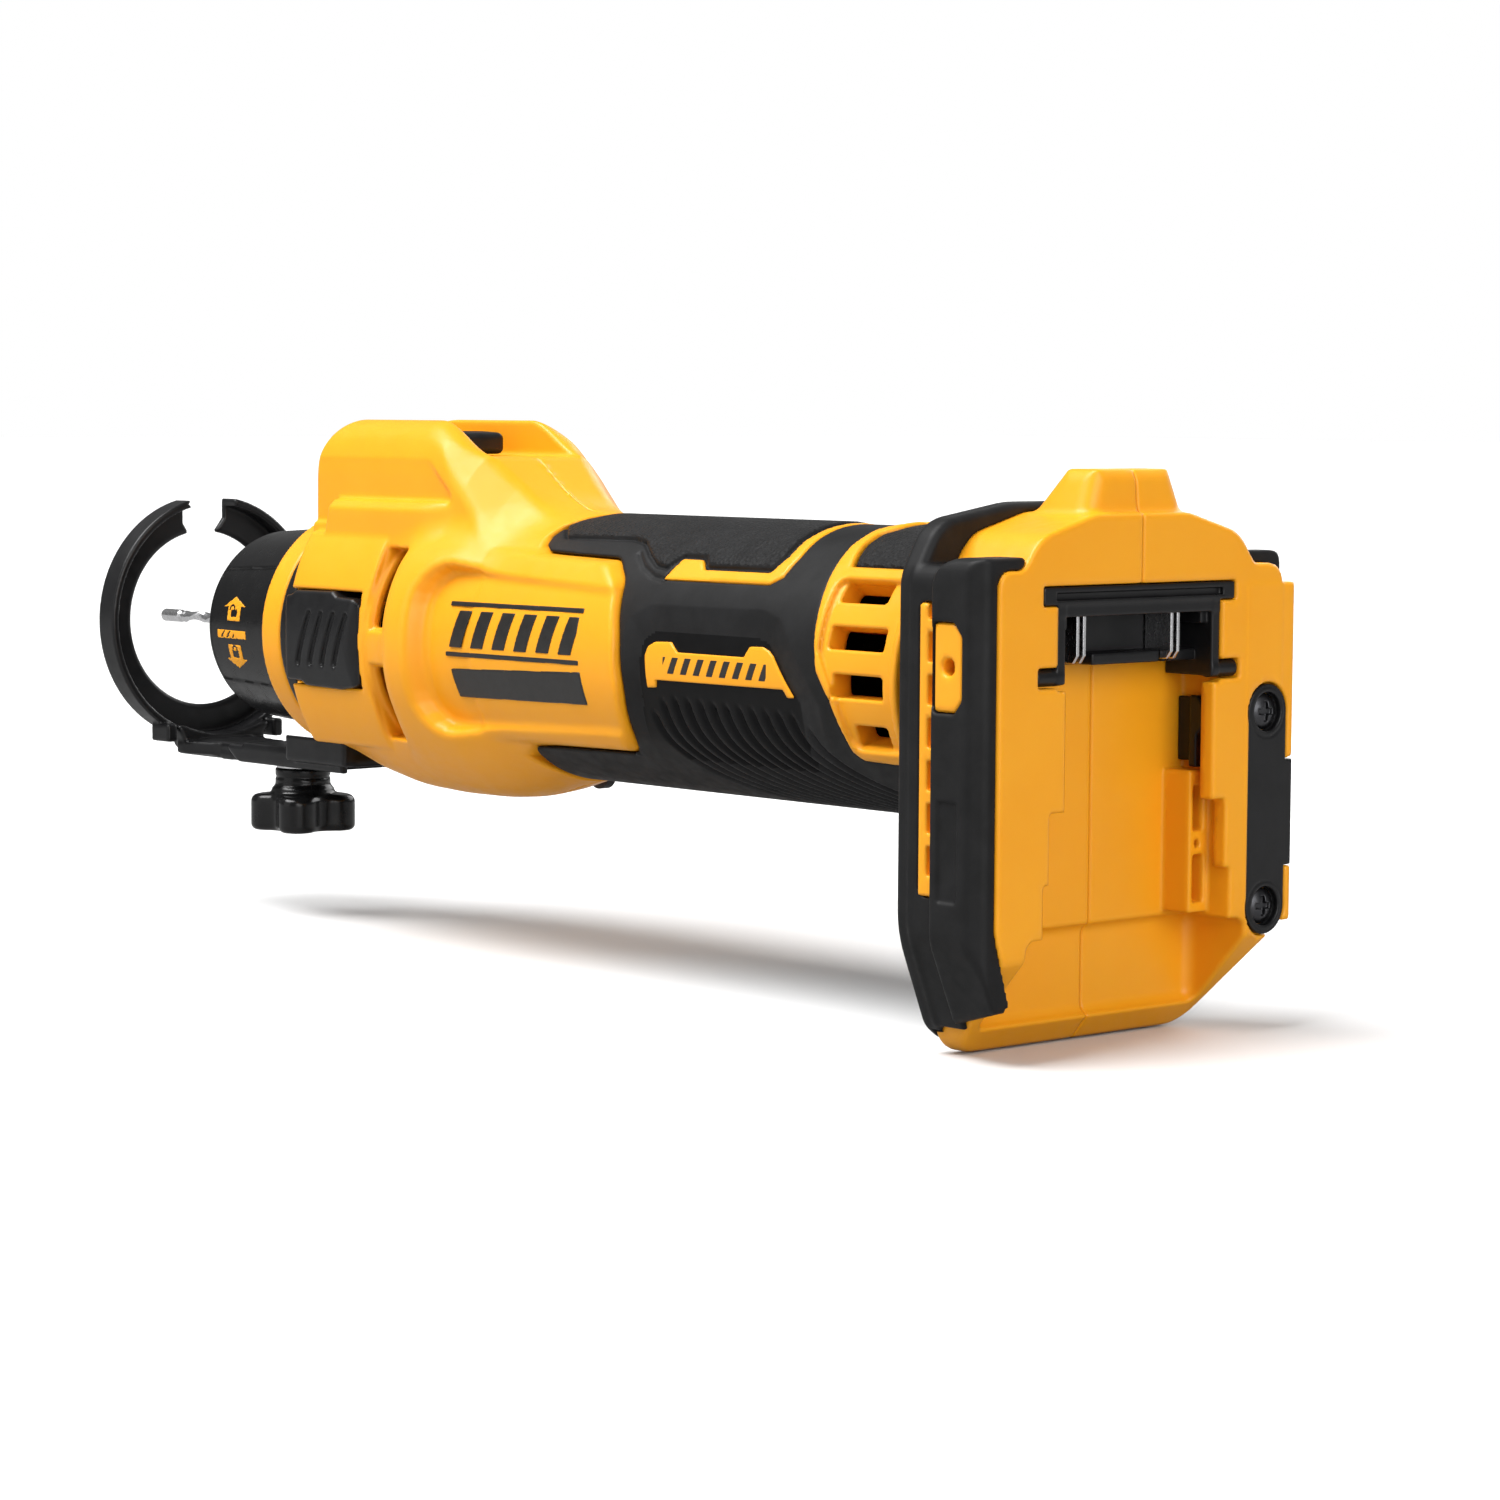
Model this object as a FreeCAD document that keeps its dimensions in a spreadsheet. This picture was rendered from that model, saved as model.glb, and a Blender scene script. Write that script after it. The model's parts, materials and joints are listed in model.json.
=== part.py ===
"""Cordless cut-out router: a slim inline tool with an open depth-guide ring on its nose
and a slide-on battery foot at its rear.

Frame, in millimetres: the spindle turns about the X axis with the nose towards -X, the
rear face of the battery foot is the plane X = 0, and +Z is up. The origin is where the
spindle axis meets the rear face. The two housing halves meet in the plane Y = 0.
"""
import FreeCAD, Part
import math
import os
import Sketcher

V = FreeCAD.Vector
doc = FreeCAD.newDocument("cutout_router")

# ---------------------------------------------------------------- driving dimensions

SIZES = {
    # nose, from the tip of the bit backwards
    "bit_tip": -331.0, "bit_radius": 1.5875, "bit_shank_end": -262.0,
    "guide_face": -315.3, "guide_radius": 30.0, "guide_bore": 21.4, "guide_plate": 1.6,
    "guide_rim_depth": 6.5, "guide_rim_wall": 1.8, "guide_gap": 22.0,
    "guide_travel": 14.0, "guide_bar_half": 8.0, "guide_bar_top": -31.6,
    "guide_bar_bottom": -33.3, "guide_shoulder": -290.6, "guide_bar_end": -251.0,
    "cradle_half": 17.0, "cradle_top": -25.7,
    "arm_front": -290.0, "arm_rear": -243.0, "arm_half": 10.0, "arm_top": -29.3,
    "arm_roof": 2.0, "knob_x": -272.7, "knob_neck": 6.6, "knob_radius": 12.6,
    "knob_top": -40.0, "knob_bottom": -49.3, "clamp_screw_radius": 2.4,
    "collar_face": -281.3, "collar_rear": -251.9, "collar_front_radius": 22.3,
    "collar_rear_radius": 24.0, "collar_mouth": 15.0, "hub_radius": 16.9,
    "hub_front": -262.0, "nose_face": -251.3, "nose_rear": -242.6, "nose_radius": 28.0,
    "band_radius": 28.2, "spigot_radius": 24.0, "sleeve_radius": 12.0,
    "sleeve_bore": 8.6, "sleeve_end": -212.0,
    # spindle and motor
    "bearing_seat": 14.02, "bearing_front": -250.9, "bearing_rear": -242.8,
    "shaft_radius": 5.0, "journal_radius": 6.0, "tail_radius": 3.5,
    "fan_front": -205.0, "fan_rear": -195.0, "fan_radius": 25.5,
    "stator_front": -184.0, "stator_rear": -154.0, "stator_radius": 23.9,
    "rotor_radius": 12.0, "air_gap": 0.6, "bracket_front": -147.0, "bracket_rear": -139.0,
    # housing
    "shell_front": -238.0, "shell_front_radius": 28.8, "slot_front": -206.0,
    "slot_rear": -196.0, "body_radius": 34.0, "belt_radius": 30.2, "belly_rear": -160.0,
    "core_radius": 26.6, "bay_radius": 23.6, "front_bay": 24.5, "wall": 3.0,
    "tongue_rear": -119.0, "tongue_half": 19.0, "tongue_radius": 30.0,
    "hump_half": 20.5, "hump_top": 49.0, "hump_crest_rear": -201.0,
    "hump_step_rear": -184.6, "recess_floor": 41.3, "recess_front": -233.0,
    "recess_half": 12.0, "button_front": -222.0, "button_rear": -204.5,
    "button_half": 8.0, "button_top": 46.8, "button_travel": 6.0,
    "pad_front": -237.2, "pad_rear": -209.9, "pad_half": 10.6, "pad_radius": 30.4,
    "pad_foot": 21.1, "pad_travel": 1.6,
    # grip
    "grip_radius": 29.3, "grip_front": -160.0, "grip_rear": -25.8,
    "vent_front": -63.7, "vent_rear": -37.3, "vent_top": 26.7, "vent_bottom": -17.2,
    "vent_radius": 29.8, "vent_slot": 4.1, "vent_pitch": 19.6, "vent_first": -23.3,
    # battery foot
    "foot_front": -21.9, "foot_side": 40.5, "foot_top": 33.0, "foot_base": -69.5,
    "foot_base_half": 31.0, "foot_shoulder_half": 32.2, "foot_shoulder": 22.8,
    "foot_chin": -45.0, "foot_bevel_x": -17.5, "foot_bevel_z": -50.0,
    "flange_grow": 2.0, "flange_front": -25.5, "flange_rear": -19.2,
    "bumper_grow": 3.1, "bumper_front": -16.2, "bumper_rear": -0.6, "bumper_top": 24.8,
    "hook_edge": 44.0, "hook_flange": 3.0, "hook_plate_top": 0.6, "hook_plate_foot": -50.4,
    "socket_depth": 13.0, "socket_half": 26.0, "socket_top": 16.0, "socket_foot": -47.0,
    "mouth_half": 20.5, "lip": 3.5, "latch_half": 30.5, "latch_foot": -64.5,
    "latch_depth": 15.0, "bar_half": 26.5, "bar_top": 19.5,
    # fits
    "gap": 0.3, "press": 0.02, "running": 0.05,
}

sheet = doc.addObject("Spreadsheet::Sheet", "Dims")
for row, (alias, value) in enumerate(SIZES.items(), start=1):
    sheet.set(f"A{row}", alias)
    sheet.set(f"B{row}", str(value))
    sheet.setAlias(f"B{row}", alias)
doc.recompute()


class Size:
    """A length together with the spreadsheet formula that gives it."""

    def __init__(self, value, formula):
        self.value = value
        self.formula = formula

    def __add__(self, other):
        other = as_size(other)
        return Size(self.value + other.value, f"({self.formula} + {other.formula})")

    def __sub__(self, other):
        other = as_size(other)
        return Size(self.value - other.value, f"({self.formula} - {other.formula})")

    def __mul__(self, other):
        other = as_size(other)
        return Size(self.value * other.value, f"({self.formula} * {other.formula})")

    def __truediv__(self, other):
        other = as_size(other)
        return Size(self.value / other.value, f"({self.formula} / {other.formula})")

    def __neg__(self):
        return Size(-self.value, f"(0 - {self.formula})")

    __radd__ = __add__
    __rmul__ = __mul__

    def __rsub__(self, other):
        return as_size(other) - self


def as_size(number):
    """A Size from a Size or a plain number."""
    return number if isinstance(number, Size) else Size(number, f"({number})")


class Dims:
    """Reads the driving dimensions as Sizes: D.wall is the cell named wall."""

    def __getattr__(self, alias):
        return Size(SIZES[alias], f"Dims.{alias}")


D = Dims()

# ---------------------------------------------------------------- modelling helpers

AXES = "XYZ"
TURN_TO = {
    "X": FreeCAD.Rotation(V(0, 1, 0), 90),
    "Y": FreeCAD.Rotation(V(1, 0, 0), -90),
    "Z": FreeCAD.Rotation(),
}
NODES = []


def bind(obj, prop, size):
    """Ties a property to the spreadsheet."""
    obj.setExpression(prop, as_size(size).formula)


def node(label, obj):
    """Names the finished object that is one sub-part."""
    obj.Label = label
    NODES.append(obj)
    return obj


def block(name, x, y, z):
    """A box from its (low, high) sides along X, Y and Z."""
    box = doc.addObject("Part::Box", name)
    for prop, axis, (low, high) in zip(("Length", "Width", "Height"), "xyz", (x, y, z)):
        bind(box, prop, as_size(high) - low)
        bind(box, f"Placement.Base.{axis}", low)
    return box


def rod(name, axis, centre, radius, low, high):
    """A cylinder along an axis; centre holds the other two coordinates in X, Y, Z order."""
    cylinder = doc.addObject("Part::Cylinder", name)
    bind(cylinder, "Radius", radius)
    bind(cylinder, "Height", as_size(high) - low)
    cylinder.Placement = FreeCAD.Placement(V(0, 0, 0), TURN_TO[axis])
    base = list(centre)
    base.insert(AXES.index(axis), low)
    for letter, place in zip("xyz", base):
        bind(cylinder, f"Placement.Base.{letter}", place)
    return cylinder


def plus(name, *shapes):
    """The union of shapes."""
    fuse = doc.addObject("Part::MultiFuse", name)
    fuse.Shapes = list(shapes)
    fuse.Refine = True
    return fuse


def minus(name, base, *tools):
    """A shape with one or more others taken away."""
    cut = doc.addObject("Part::Cut", name)
    cut.Base = base
    cut.Tool = tools[0] if len(tools) == 1 else plus(name + "_tools", *tools)
    cut.Refine = True
    return cut


def overlap(name, *shapes):
    """The space shared by shapes."""
    common = doc.addObject("Part::MultiCommon", name)
    common.Shapes = list(shapes)
    common.Refine = True
    return common


def group(name, *shapes):
    """Separate solids kept together in one sub-part."""
    compound = doc.addObject("Part::Compound", name)
    compound.Links = list(shapes)
    return compound


def mirrored(name, source):
    """The other-hand copy of a shape, across the plane Y = 0."""
    mirror = doc.addObject("Part::Mirroring", name)
    mirror.Source = source
    mirror.Base = V(0, 0, 0)
    mirror.Normal = V(0, 1, 0)
    return mirror


def ring(name, outer, inner, low, high):
    """A plain tube along the spindle axis."""
    return minus(name, rod(name + "_outer", "X", (0, 0), outer, low, high),
                 rod(name + "_inner", "X", (0, 0), inner, as_size(low) - 1, as_size(high) + 1))


def turned_block(name, x, y, z, angle):
    """A box turned about the spindle axis by an angle in degrees."""
    box = block(name + "_flat", x, y, z)
    turned = group(name, box)
    turned.Placement = FreeCAD.Placement(V(0, 0, 0), FreeCAD.Rotation(V(1, 0, 0), angle))
    return turned


def new_body(name):
    """An empty PartDesign body."""
    return doc.addObject("PartDesign::Body", name)


def origin_part(body, role):
    """One of the body's own origin planes or axes."""
    return next(item for item in body.Origin.OriginFeatures if item.Role == role)


def sketch(body, name, role, offset=0):
    """An empty sketch on one of the body's origin planes, moved along its normal."""
    drawing = body.newObject("Sketcher::SketchObject", name)
    drawing.AttachmentSupport = [(origin_part(body, role), "")]
    drawing.MapMode = "FlatFace"
    bind(drawing, "AttachmentOffset.Base.z", offset)
    return drawing


def pin_point(drawing, element, place, point):
    """Fixes one point of a sketch element by its two coordinates."""
    for kind, size in zip(("DistanceX", "DistanceY"), point):
        size = as_size(size)
        index = drawing.addConstraint(
            Sketcher.Constraint(kind, -1, 1, element, place, size.value))
        drawing.setExpression(f"Constraints[{index}]", size.formula)


def outline(drawing, points):
    """Draws a closed polygon whose corners are tied to the spreadsheet."""
    first = drawing.GeometryCount
    corners = [V(as_size(x).value, as_size(y).value, 0) for x, y in points]
    count = len(corners)
    for index in range(count):
        drawing.addGeometry(Part.LineSegment(corners[index], corners[(index + 1) % count]))
    for index in range(count):
        drawing.addConstraint(Sketcher.Constraint(
            "Coincident", first + index, 2, first + (index + 1) % count, 1))
    for index, point in enumerate(points):
        pin_point(drawing, first + index, 1, point)


def circle(drawing, centre, radius):
    """Draws a circle tied to the spreadsheet."""
    place = V(as_size(centre[0]).value, as_size(centre[1]).value, 0)
    element = drawing.addGeometry(Part.Circle(place, V(0, 0, 1), as_size(radius).value))
    pin_point(drawing, element, 3, centre)
    index = drawing.addConstraint(
        Sketcher.Constraint("Radius", element, as_size(radius).value))
    drawing.setExpression(f"Constraints[{index}]", as_size(radius).formula)


def pad(body, drawing, length, midplane=False):
    """Extrudes a sketch along its normal."""
    feature = body.newObject("PartDesign::Pad", drawing.Name + "_pad")
    feature.Profile = drawing
    feature.Midplane = midplane
    bind(feature, "Length", length)
    return feature


def pocket(body, drawing, length, reverse=False):
    """Cuts a sketch out of the solid; a cut that removes nothing is an error."""
    doc.recompute()
    before = body.Shape.Volume
    feature = body.newObject("PartDesign::Pocket", drawing.Name + "_pocket")
    feature.Profile = drawing
    feature.Reversed = reverse
    bind(feature, "Length", length)
    doc.recompute()
    if body.Shape.Volume >= before:
        raise RuntimeError(f"{feature.Name} cuts nothing")
    return feature


def polar(body, features, count, axis="X_Axis"):
    """Repeats features round one of the body's origin axes."""
    pattern = body.newObject("PartDesign::PolarPattern", features[0].Name + "_round")
    pattern.Originals = features
    pattern.Axis = (origin_part(body, axis), [""])
    pattern.Angle = 360
    pattern.Occurrences = count
    body.Tip = pattern
    return pattern


def lathe(name, profile, angle=360):
    """A body turned about the X axis from (x, radius) corners."""
    body = new_body(name)
    drawing = sketch(body, name + "_profile", "XZ_Plane")
    outline(drawing, profile)
    turn = body.newObject("PartDesign::Revolution", name + "_turn")
    turn.Profile = drawing
    turn.ReferenceAxis = (drawing, ["H_Axis"])
    turn.Angle = angle
    return body


def fillet(body, radius, wanted):
    """Rounds the edges of the body's solid for which wanted(edge) is true."""
    doc.recompute()
    base = body.Tip
    names = [f"Edge{i}" for i, edge in enumerate(base.Shape.Edges, start=1) if wanted(edge)]
    feature = body.newObject("PartDesign::Fillet", f"{body.Name}_fillet{len(body.Group)}")
    feature.Base = (base, names)
    bind(feature, "Radius", radius)
    return feature


def runs_along(edge, axis):
    """True for a straight edge parallel to a coordinate axis."""
    if edge.Curve.TypeId != "Part::GeomLine":
        return False
    direction = edge.Curve.Direction
    return abs(abs(direction[AXES.index(axis)]) - 1) < 1e-6


def near(value, target, slack=0.05):
    """True when two lengths agree."""
    return abs(value - as_size(target).value) < slack


# a halfspace on each side of the plane where the housing halves meet
REACH = 400
LEFT_SPACE = block("left_space", (-REACH, 50), (-100, 0), (-100, 100))
RIGHT_SPACE = block("right_space", (-REACH, 50), (0, 100), (-100, 100))

# housing screws: place along X and Z, the head's seat and the shank's end along Y
HOUSING_SCREWS = (
    (-193.0, 34.0, 15.5), (-229.5, -26.4, 6.5), (-176.0, -29.6, 12.0),
    (-68.0, 20.2, 12.0), (-9.0, 26.0, 22.0), (-18.3, -56.0, 31.5),
)
BOSS_RADIUS = 4.4
BOSS_SPAN = (-17.0, 19.0)
SCREW_SHANK = 1.95
SCREW_HOLE = 2.0
SCREW_HEAD = 3.5
SCREW_END = -9.0
NOSE_SCREW_CIRCLE = 18.5
NOSE_SCREW_TURN = 45


# ---------------------------------------------------------------- battery foot

def foot_corners(grow):
    """The foot's outline seen from behind, as (y, z) corners, let out by a margin."""
    right = [
        (as_size(13.0) + grow / 2, D.foot_top + grow),
        (as_size(27.5) + grow / 2, D.foot_top - 4 + grow),
        (D.foot_shoulder_half + grow, D.foot_shoulder + grow),
        (D.foot_side + grow, D.foot_shoulder + grow),
        (D.foot_side + grow, D.foot_chin - grow / 2),
        (D.foot_base_half + grow / 2, D.foot_base - grow),
    ]
    left = [(-y, z) for y, z in reversed(right)]
    return right + left


def foot_slab(name, grow, front, rear, roundings):
    """A slab with the foot's outline; roundings are (index of corner, radius)."""
    body = new_body(name)
    drawing = sketch(body, name + "_outline", "YZ_Plane", front)
    corners = foot_corners(as_size(grow))
    outline(drawing, corners)
    pad(body, drawing, as_size(rear) - front)
    last = len(corners) - 1
    for index, radius in roundings:
        spots = [corners[index], corners[last - index]]

        def at_corner(edge):
            if not runs_along(edge, "X"):
                return False
            place = edge.Vertexes[0].Point
            return any(near(place.y, y) and near(place.z, z) for y, z in spots)

        fillet(body, radius, at_corner)
    return body


FOOT_ROUNDINGS = ((1, 9.0), (0, 12.0), (2, 2.0), (3, 4.0), (4, 11.0), (5, 6.0))


def foot_core():
    """The yellow foot: slab, top tab and hook flange, less the battery socket."""
    slab = foot_slab("foot_slab", 0, D.foot_front, 0, FOOT_ROUNDINGS)
    tab_top = D.foot_top + 9.3
    along = new_body("tab_along")
    side = sketch(along, "tab_side", "XZ_Plane")
    outline(side, [(-20.5, D.foot_top - 3), (-1.2, D.foot_top - 3), (-2.4, tab_top),
                   (-11, tab_top)])
    pad(along, side, 40, midplane=True)
    across = new_body("tab_across")
    back = sketch(across, "tab_back", "YZ_Plane", -21)
    outline(back, [(-15.8, D.foot_top - 3), (15.8, D.foot_top - 3), (10.4, tab_top),
                   (-10.4, tab_top)])
    pad(across, back, 21)
    for body, axis in ((along, "Y"), (across, "X")):
        fillet(body, 2.2, lambda edge, way=axis: runs_along(edge, way)
               and near(edge.BoundBox.ZMin, tab_top))
    tab = overlap("foot_tab", along, across)
    flange = block("hook_flange", (-D.hook_flange, 0), (30, D.hook_edge), (-48, 19))
    solid = plus("foot_solid", slab, tab, flange)

    chin = new_body("foot_bevel")
    side = sketch(chin, "foot_bevel_side", "XZ_Plane")
    outline(side, [(0, D.foot_bevel_z), (5, D.foot_bevel_z), (5, D.foot_base - 5),
                   (D.foot_bevel_x, D.foot_base - 5), (D.foot_bevel_x, D.foot_base)])
    pad(chin, side, 120, midplane=True)
    return minus("foot_core", solid, chin, *socket_hollows())


def socket_hollows():
    """The spaces that a battery, its latch and the terminal block fill."""
    out = 1
    depth = -D.socket_depth
    hollows = [
        block("socket_room", (depth, -D.lip), (-D.socket_half, D.socket_half),
              (D.socket_foot, D.socket_top)),
        block("socket_mouth", (-D.lip - 1, out), (-D.mouth_half, D.mouth_half),
              (D.socket_foot, 0.6)),
        block("socket_step", (-D.lip - 1, out), (-24.5, 24.5), (D.socket_foot, -22.8)),
        block("socket_entry", (-D.lip - 1, out), (-D.socket_half, D.socket_half),
              (D.socket_foot, -36.3)),
        block("socket_head", (-D.lip - 1, out), (-22.8, 22.8), (0, D.socket_top)),
        block("bar_slot", (-6, out), (-D.bar_half - 0.2, D.bar_half + 0.2),
              (D.socket_top - 0.1, D.bar_top + 0.2)),
        block("ear_slot", (-4, out), (-28, 28), (0.6, 4.5)),
        block("latch_room", (-D.latch_depth, out), (-D.latch_half, D.latch_half),
              (D.latch_foot, D.socket_foot + 0.5)),
        block("lead_window", (-18, depth + 1), (-17, 17), (5, 15)),
        block("foot_relief", (-19.4, -16.2), (-33, 33), (-52, -27)),
        block("plate_seat", (-2, out), (30.6, D.hook_edge + 1),
              (D.hook_plate_foot - 0.2, D.hook_plate_top + 0.2)),
    ]
    for side, sign in (("left", -1), ("right", 1)):
        low, high = sorted((sign * 33.0, sign * 42.0))
        hollows.append(rod("boss_hole_" + side, "Y", (-9.3, 5.5), 1.65, low, high))
    for label, height in PLATE_SCREWS:
        hollows.append(rod("plate_hole_" + label, "X", (36.5, height), 1.55, -10.5, out))
    return hollows


PLATE_SCREWS = (("top", -6.4), ("foot", -44.8))


def bumper_right():
    """Black overmoulding of the foot: front flange and side bumper, right half."""
    flange = foot_slab("flange_slab", D.flange_grow, D.flange_front, D.flange_rear,
                       ((1, 9.0), (0, 12.0), (2, 2.0), (3, 5.0), (4, 12.0), (5, 6.0)))
    side = foot_slab("bumper_slab", D.bumper_grow, D.flange_rear - 1, D.bumper_rear,
                     ((1, 9.0), (2, 2.0), (3, 5.0), (4, 12.0)))
    window = block("bumper_window", (D.flange_rear, D.bumper_front), (0, 60), (-39, 60))
    above = block("bumper_above", (-40, 10), (0, 60), (D.bumper_top, 60))
    inboard = block("bumper_inboard", (D.flange_rear, 10), (-60, 31.0), (-100, 60))
    below = block("bumper_below", (-40, 10), (-60, 60), (-100, -57.5))
    band = minus("bumper_band", side, window, above, inboard, below)
    foot = foot_slab("bumper_seat", 0.05, D.foot_front - 0.05, 5, FOOT_ROUNDINGS)
    cover = block("bumper_flange_room", (-D.hook_flange - 0.3, 5), (0, 60), (-100, 60))
    boss = block("bumper_boss_window", (-14.2, -5.6), (0, 60), (-3, 12.6))
    low = block("flange_low", (-40, 10), (-60, 60), (-100, -67))
    stem = rod("flange_stem", "X", (0, 0), D.core_radius + 0.05, -40, -15)
    x, z, _ = HOUSING_SCREWS[5]
    access = rod("bumper_screw_access", "Y", (x, z), SCREW_HEAD + 0.4, 25, 60)
    cuts = [foot, boss, low, stem]
    whole = minus("bumper_whole", plus("bumper_shape", flange, band), *cuts)
    below_hook = block("bumper_right_foot", (D.flange_rear, 5), (0, 60), (-100, D.socket_foot))
    return whole, cover, below_hook, access


# ---------------------------------------------------------------- housing halves

def housing():
    """Both halves: nose barrel, hump, belly, tongues, grip core, vents and foot."""
    barrel = lathe("barrel", [
        (D.shell_front, 0), (D.shell_front, D.shell_front_radius),
        (D.slot_front, D.belt_radius), (D.slot_rear, D.body_radius),
        (-183, D.body_radius), (D.belly_rear, D.grip_radius),
        (D.belly_rear, D.core_radius), (-16.5, D.core_radius), (-16.5, 0)])
    pockets = minus("label_pockets",
                    block("label_band", (-183, -120), (-50, 50),
                          (-D.tongue_half, D.tongue_half)),
                    rod("label_floor", "X", (0, 0), D.tongue_radius, -190, -110))
    tongue = overlap("tongue", rod("tongue_round", "X", (0, 0), D.tongue_radius, -187,
                                   D.tongue_rear),
                     block("tongue_band", (-187, D.tongue_rear), (-50, 50),
                           (-D.tongue_half, D.tongue_half)))
    vents = overlap("vent_frames", rod("vent_round", "X", (0, 0), D.vent_radius,
                                       D.vent_front, D.vent_rear),
                    block("vent_band", (D.vent_front, D.vent_rear), (-50, 50),
                          (D.vent_bottom, D.vent_top)))
    solid = plus("housing_solid", minus("barrel_cut", barrel, pockets), hump(), tongue,
                 vents, foot_core())
    hollow = minus("housing_shell", solid, *housing_hollows())
    bosses = []
    for index, (x, z, _) in enumerate(HOUSING_SCREWS):
        bosses.append(rod(f"boss_{index}", "Y", (x, z), BOSS_RADIUS, *BOSS_SPAN))
    inside = overlap("bosses", plus("boss_rods", *bosses), solid)
    holes = []
    for index, (x, z, seat) in enumerate(HOUSING_SCREWS):
        holes.append(rod(f"hole_{index}", "Y", (x, z), SCREW_HOLE, SCREW_END - 0.5, seat + 1))
        holes.append(rod(f"sink_{index}", "Y", (x, z), SCREW_HEAD + 0.2, seat, 60))
    whole = minus("housing_whole", plus("housing_bossed", hollow, inside), *holes)
    node("housing_left", overlap("housing_left_half", whole, LEFT_SPACE))
    node("housing_right", overlap("housing_right_half", whole, RIGHT_SPACE))


def hump():
    """The switch hump: rounded block with the slide recess open to the rear."""
    body = new_body("hump")
    side = sketch(body, "hump_side", "XZ_Plane")
    outline(side, [
        (D.shell_front, 5), (D.shell_front, D.hump_top),
        (D.hump_crest_rear, D.hump_top), (D.hump_step_rear, D.recess_floor),
        (-163, D.grip_radius), (-163, 5)])
    pad(body, side, D.hump_half * 2, midplane=True)
    fillet(body, 7.0, lambda edge: runs_along(edge, "Y") and edge.BoundBox.ZMin > 45
           and edge.BoundBox.XMax < SIZES["shell_front"] + 1)
    fillet(body, 3.5, lambda edge: edge.BoundBox.ZMin > 29 and edge.BoundBox.ZMax > 41.4
           and edge.BoundBox.YLength < 0.1 and runs_along(edge, "X"))
    recess = block("recess", (D.recess_front, -150), (-D.recess_half, D.recess_half),
                   (D.recess_floor, 60))
    return minus("hump_cut", body, recess)


def housing_hollows():
    """Motor bay, fan room, electronics bay, exhaust slots, windows and openings."""
    front_wall = D.shell_front + 4
    hollows = [
        rod("sleeve_hole", "X", (0, 0), D.sleeve_radius + D.running, -240, -230),
        rod("front_room", "X", (0, 0), D.front_bay, front_wall, -208),
        rod("fan_room", "X", (0, 0), 27.2, -208.5, -192),
        rod("motor_room", "X", (0, 0), D.stator_radius + 0.1, -193, D.bracket_front - 1),
        rod("module_room", "X", (0, 0), D.bay_radius, D.bracket_front - 2, -16.2),
        block("switch_room", (D.shell_front + 3, -189), (-17.3, 17.3), (17, 38.8)),
        block("stem_slot", (-223.5, -208.8), (-3, 3), (38, 42)),
    ]
    for side, sign in (("left", -1), ("right", 1)):
        low, high = sorted((sign * 18.0, sign * 36.0))
        hollows.append(block("pad_window_" + side,
                             (D.pad_front - D.gap, D.pad_rear + D.gap), (low, high),
                             (-D.pad_half - D.gap, D.pad_half + D.gap)))
        reach = sorted((sign * 15.0, sign * 40.0))
        for part, (start, end) in (("upper", (3.6, 21.0)), ("lower", (-21.0, -5.0))):
            hollows.append(block(f"exhaust_{side}_{part}", (D.slot_front, D.slot_rear),
                                 reach, (start, end)))
        outer = sorted((sign * 18.0, sign * 33.0))
        for index in range(4):
            angle = -sign * (D.vent_first.value + index * D.vent_pitch.value)
            hollows.append(turned_block(
                f"vent_{side}_{index}", (D.vent_front + 6, D.vent_rear - 1.5), outer,
                (-D.vent_slot / 2, D.vent_slot / 2), -angle))
    for index in range(4):
        angle = math.radians(NOSE_SCREW_TURN + 90 * index)
        hollows.append(rod(f"nose_hole_{index}", "X",
                           (NOSE_SCREW_CIRCLE * math.cos(angle),
                            NOSE_SCREW_CIRCLE * math.sin(angle)), 1.5, -240, -230))
    return hollows


def grip_cover():
    """Rubber grip over the housing's core, in two halves."""
    sleeve = ring("grip_sleeve", D.grip_radius, D.core_radius + 0.05, D.grip_front,
                  D.grip_rear)
    tongues = block("grip_notch", (-170, D.tongue_rear + 0.3), (-50, 50),
                    (-D.tongue_half - 0.3, D.tongue_half + 0.3))
    windows = block("grip_window", (D.vent_front - 0.3, D.vent_rear + 0.3), (-50, 50),
                    (D.vent_bottom - 0.3, D.vent_top + 0.3))
    badges = block("grip_badge_seat", (-114.2, -66.2), (-50, 50), (-6.2, 6.2))
    lining = rod("grip_badge_depth", "X", (0, 0), 28.2, -115, -65)
    seats = minus("grip_badge_cut", badges, lining)
    x, z, _ = HOUSING_SCREWS[3]
    access = rod("grip_screw_access", "Y", (x, z), SCREW_HEAD + 0.3, 5, 60)
    body = minus("grip_body", sleeve, tongues, windows, seats, access)
    node("grip_left", overlap("grip_left_half", body, LEFT_SPACE))
    node("grip_right", overlap("grip_right_half", body, RIGHT_SPACE))


# ---------------------------------------------------------------- trim and fasteners

def curved_plate(name, outer, inner, x, z):
    """A thin plate bent round the spindle axis, on the left side."""
    tube = ring(name + "_tube", outer, inner, x[0], x[1])
    return overlap(name, tube, block(name + "_band", x, (-50, 0), z))


def plates():
    """Badge plates on the grip and blank label plates on the tongues."""
    badge = curved_plate("badge_plate", 29.5, 28.25, (-114.0, -66.4), (-6, 6))
    label = curved_plate("label_plate", 30.4, 30.02, (-176, -130), (-12.5, -3))
    node("badge_left", badge)
    node("badge_right", mirrored("badge_plate_right", badge))
    node("label_left", label)
    node("label_right", mirrored("label_plate_right", label))


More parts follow.
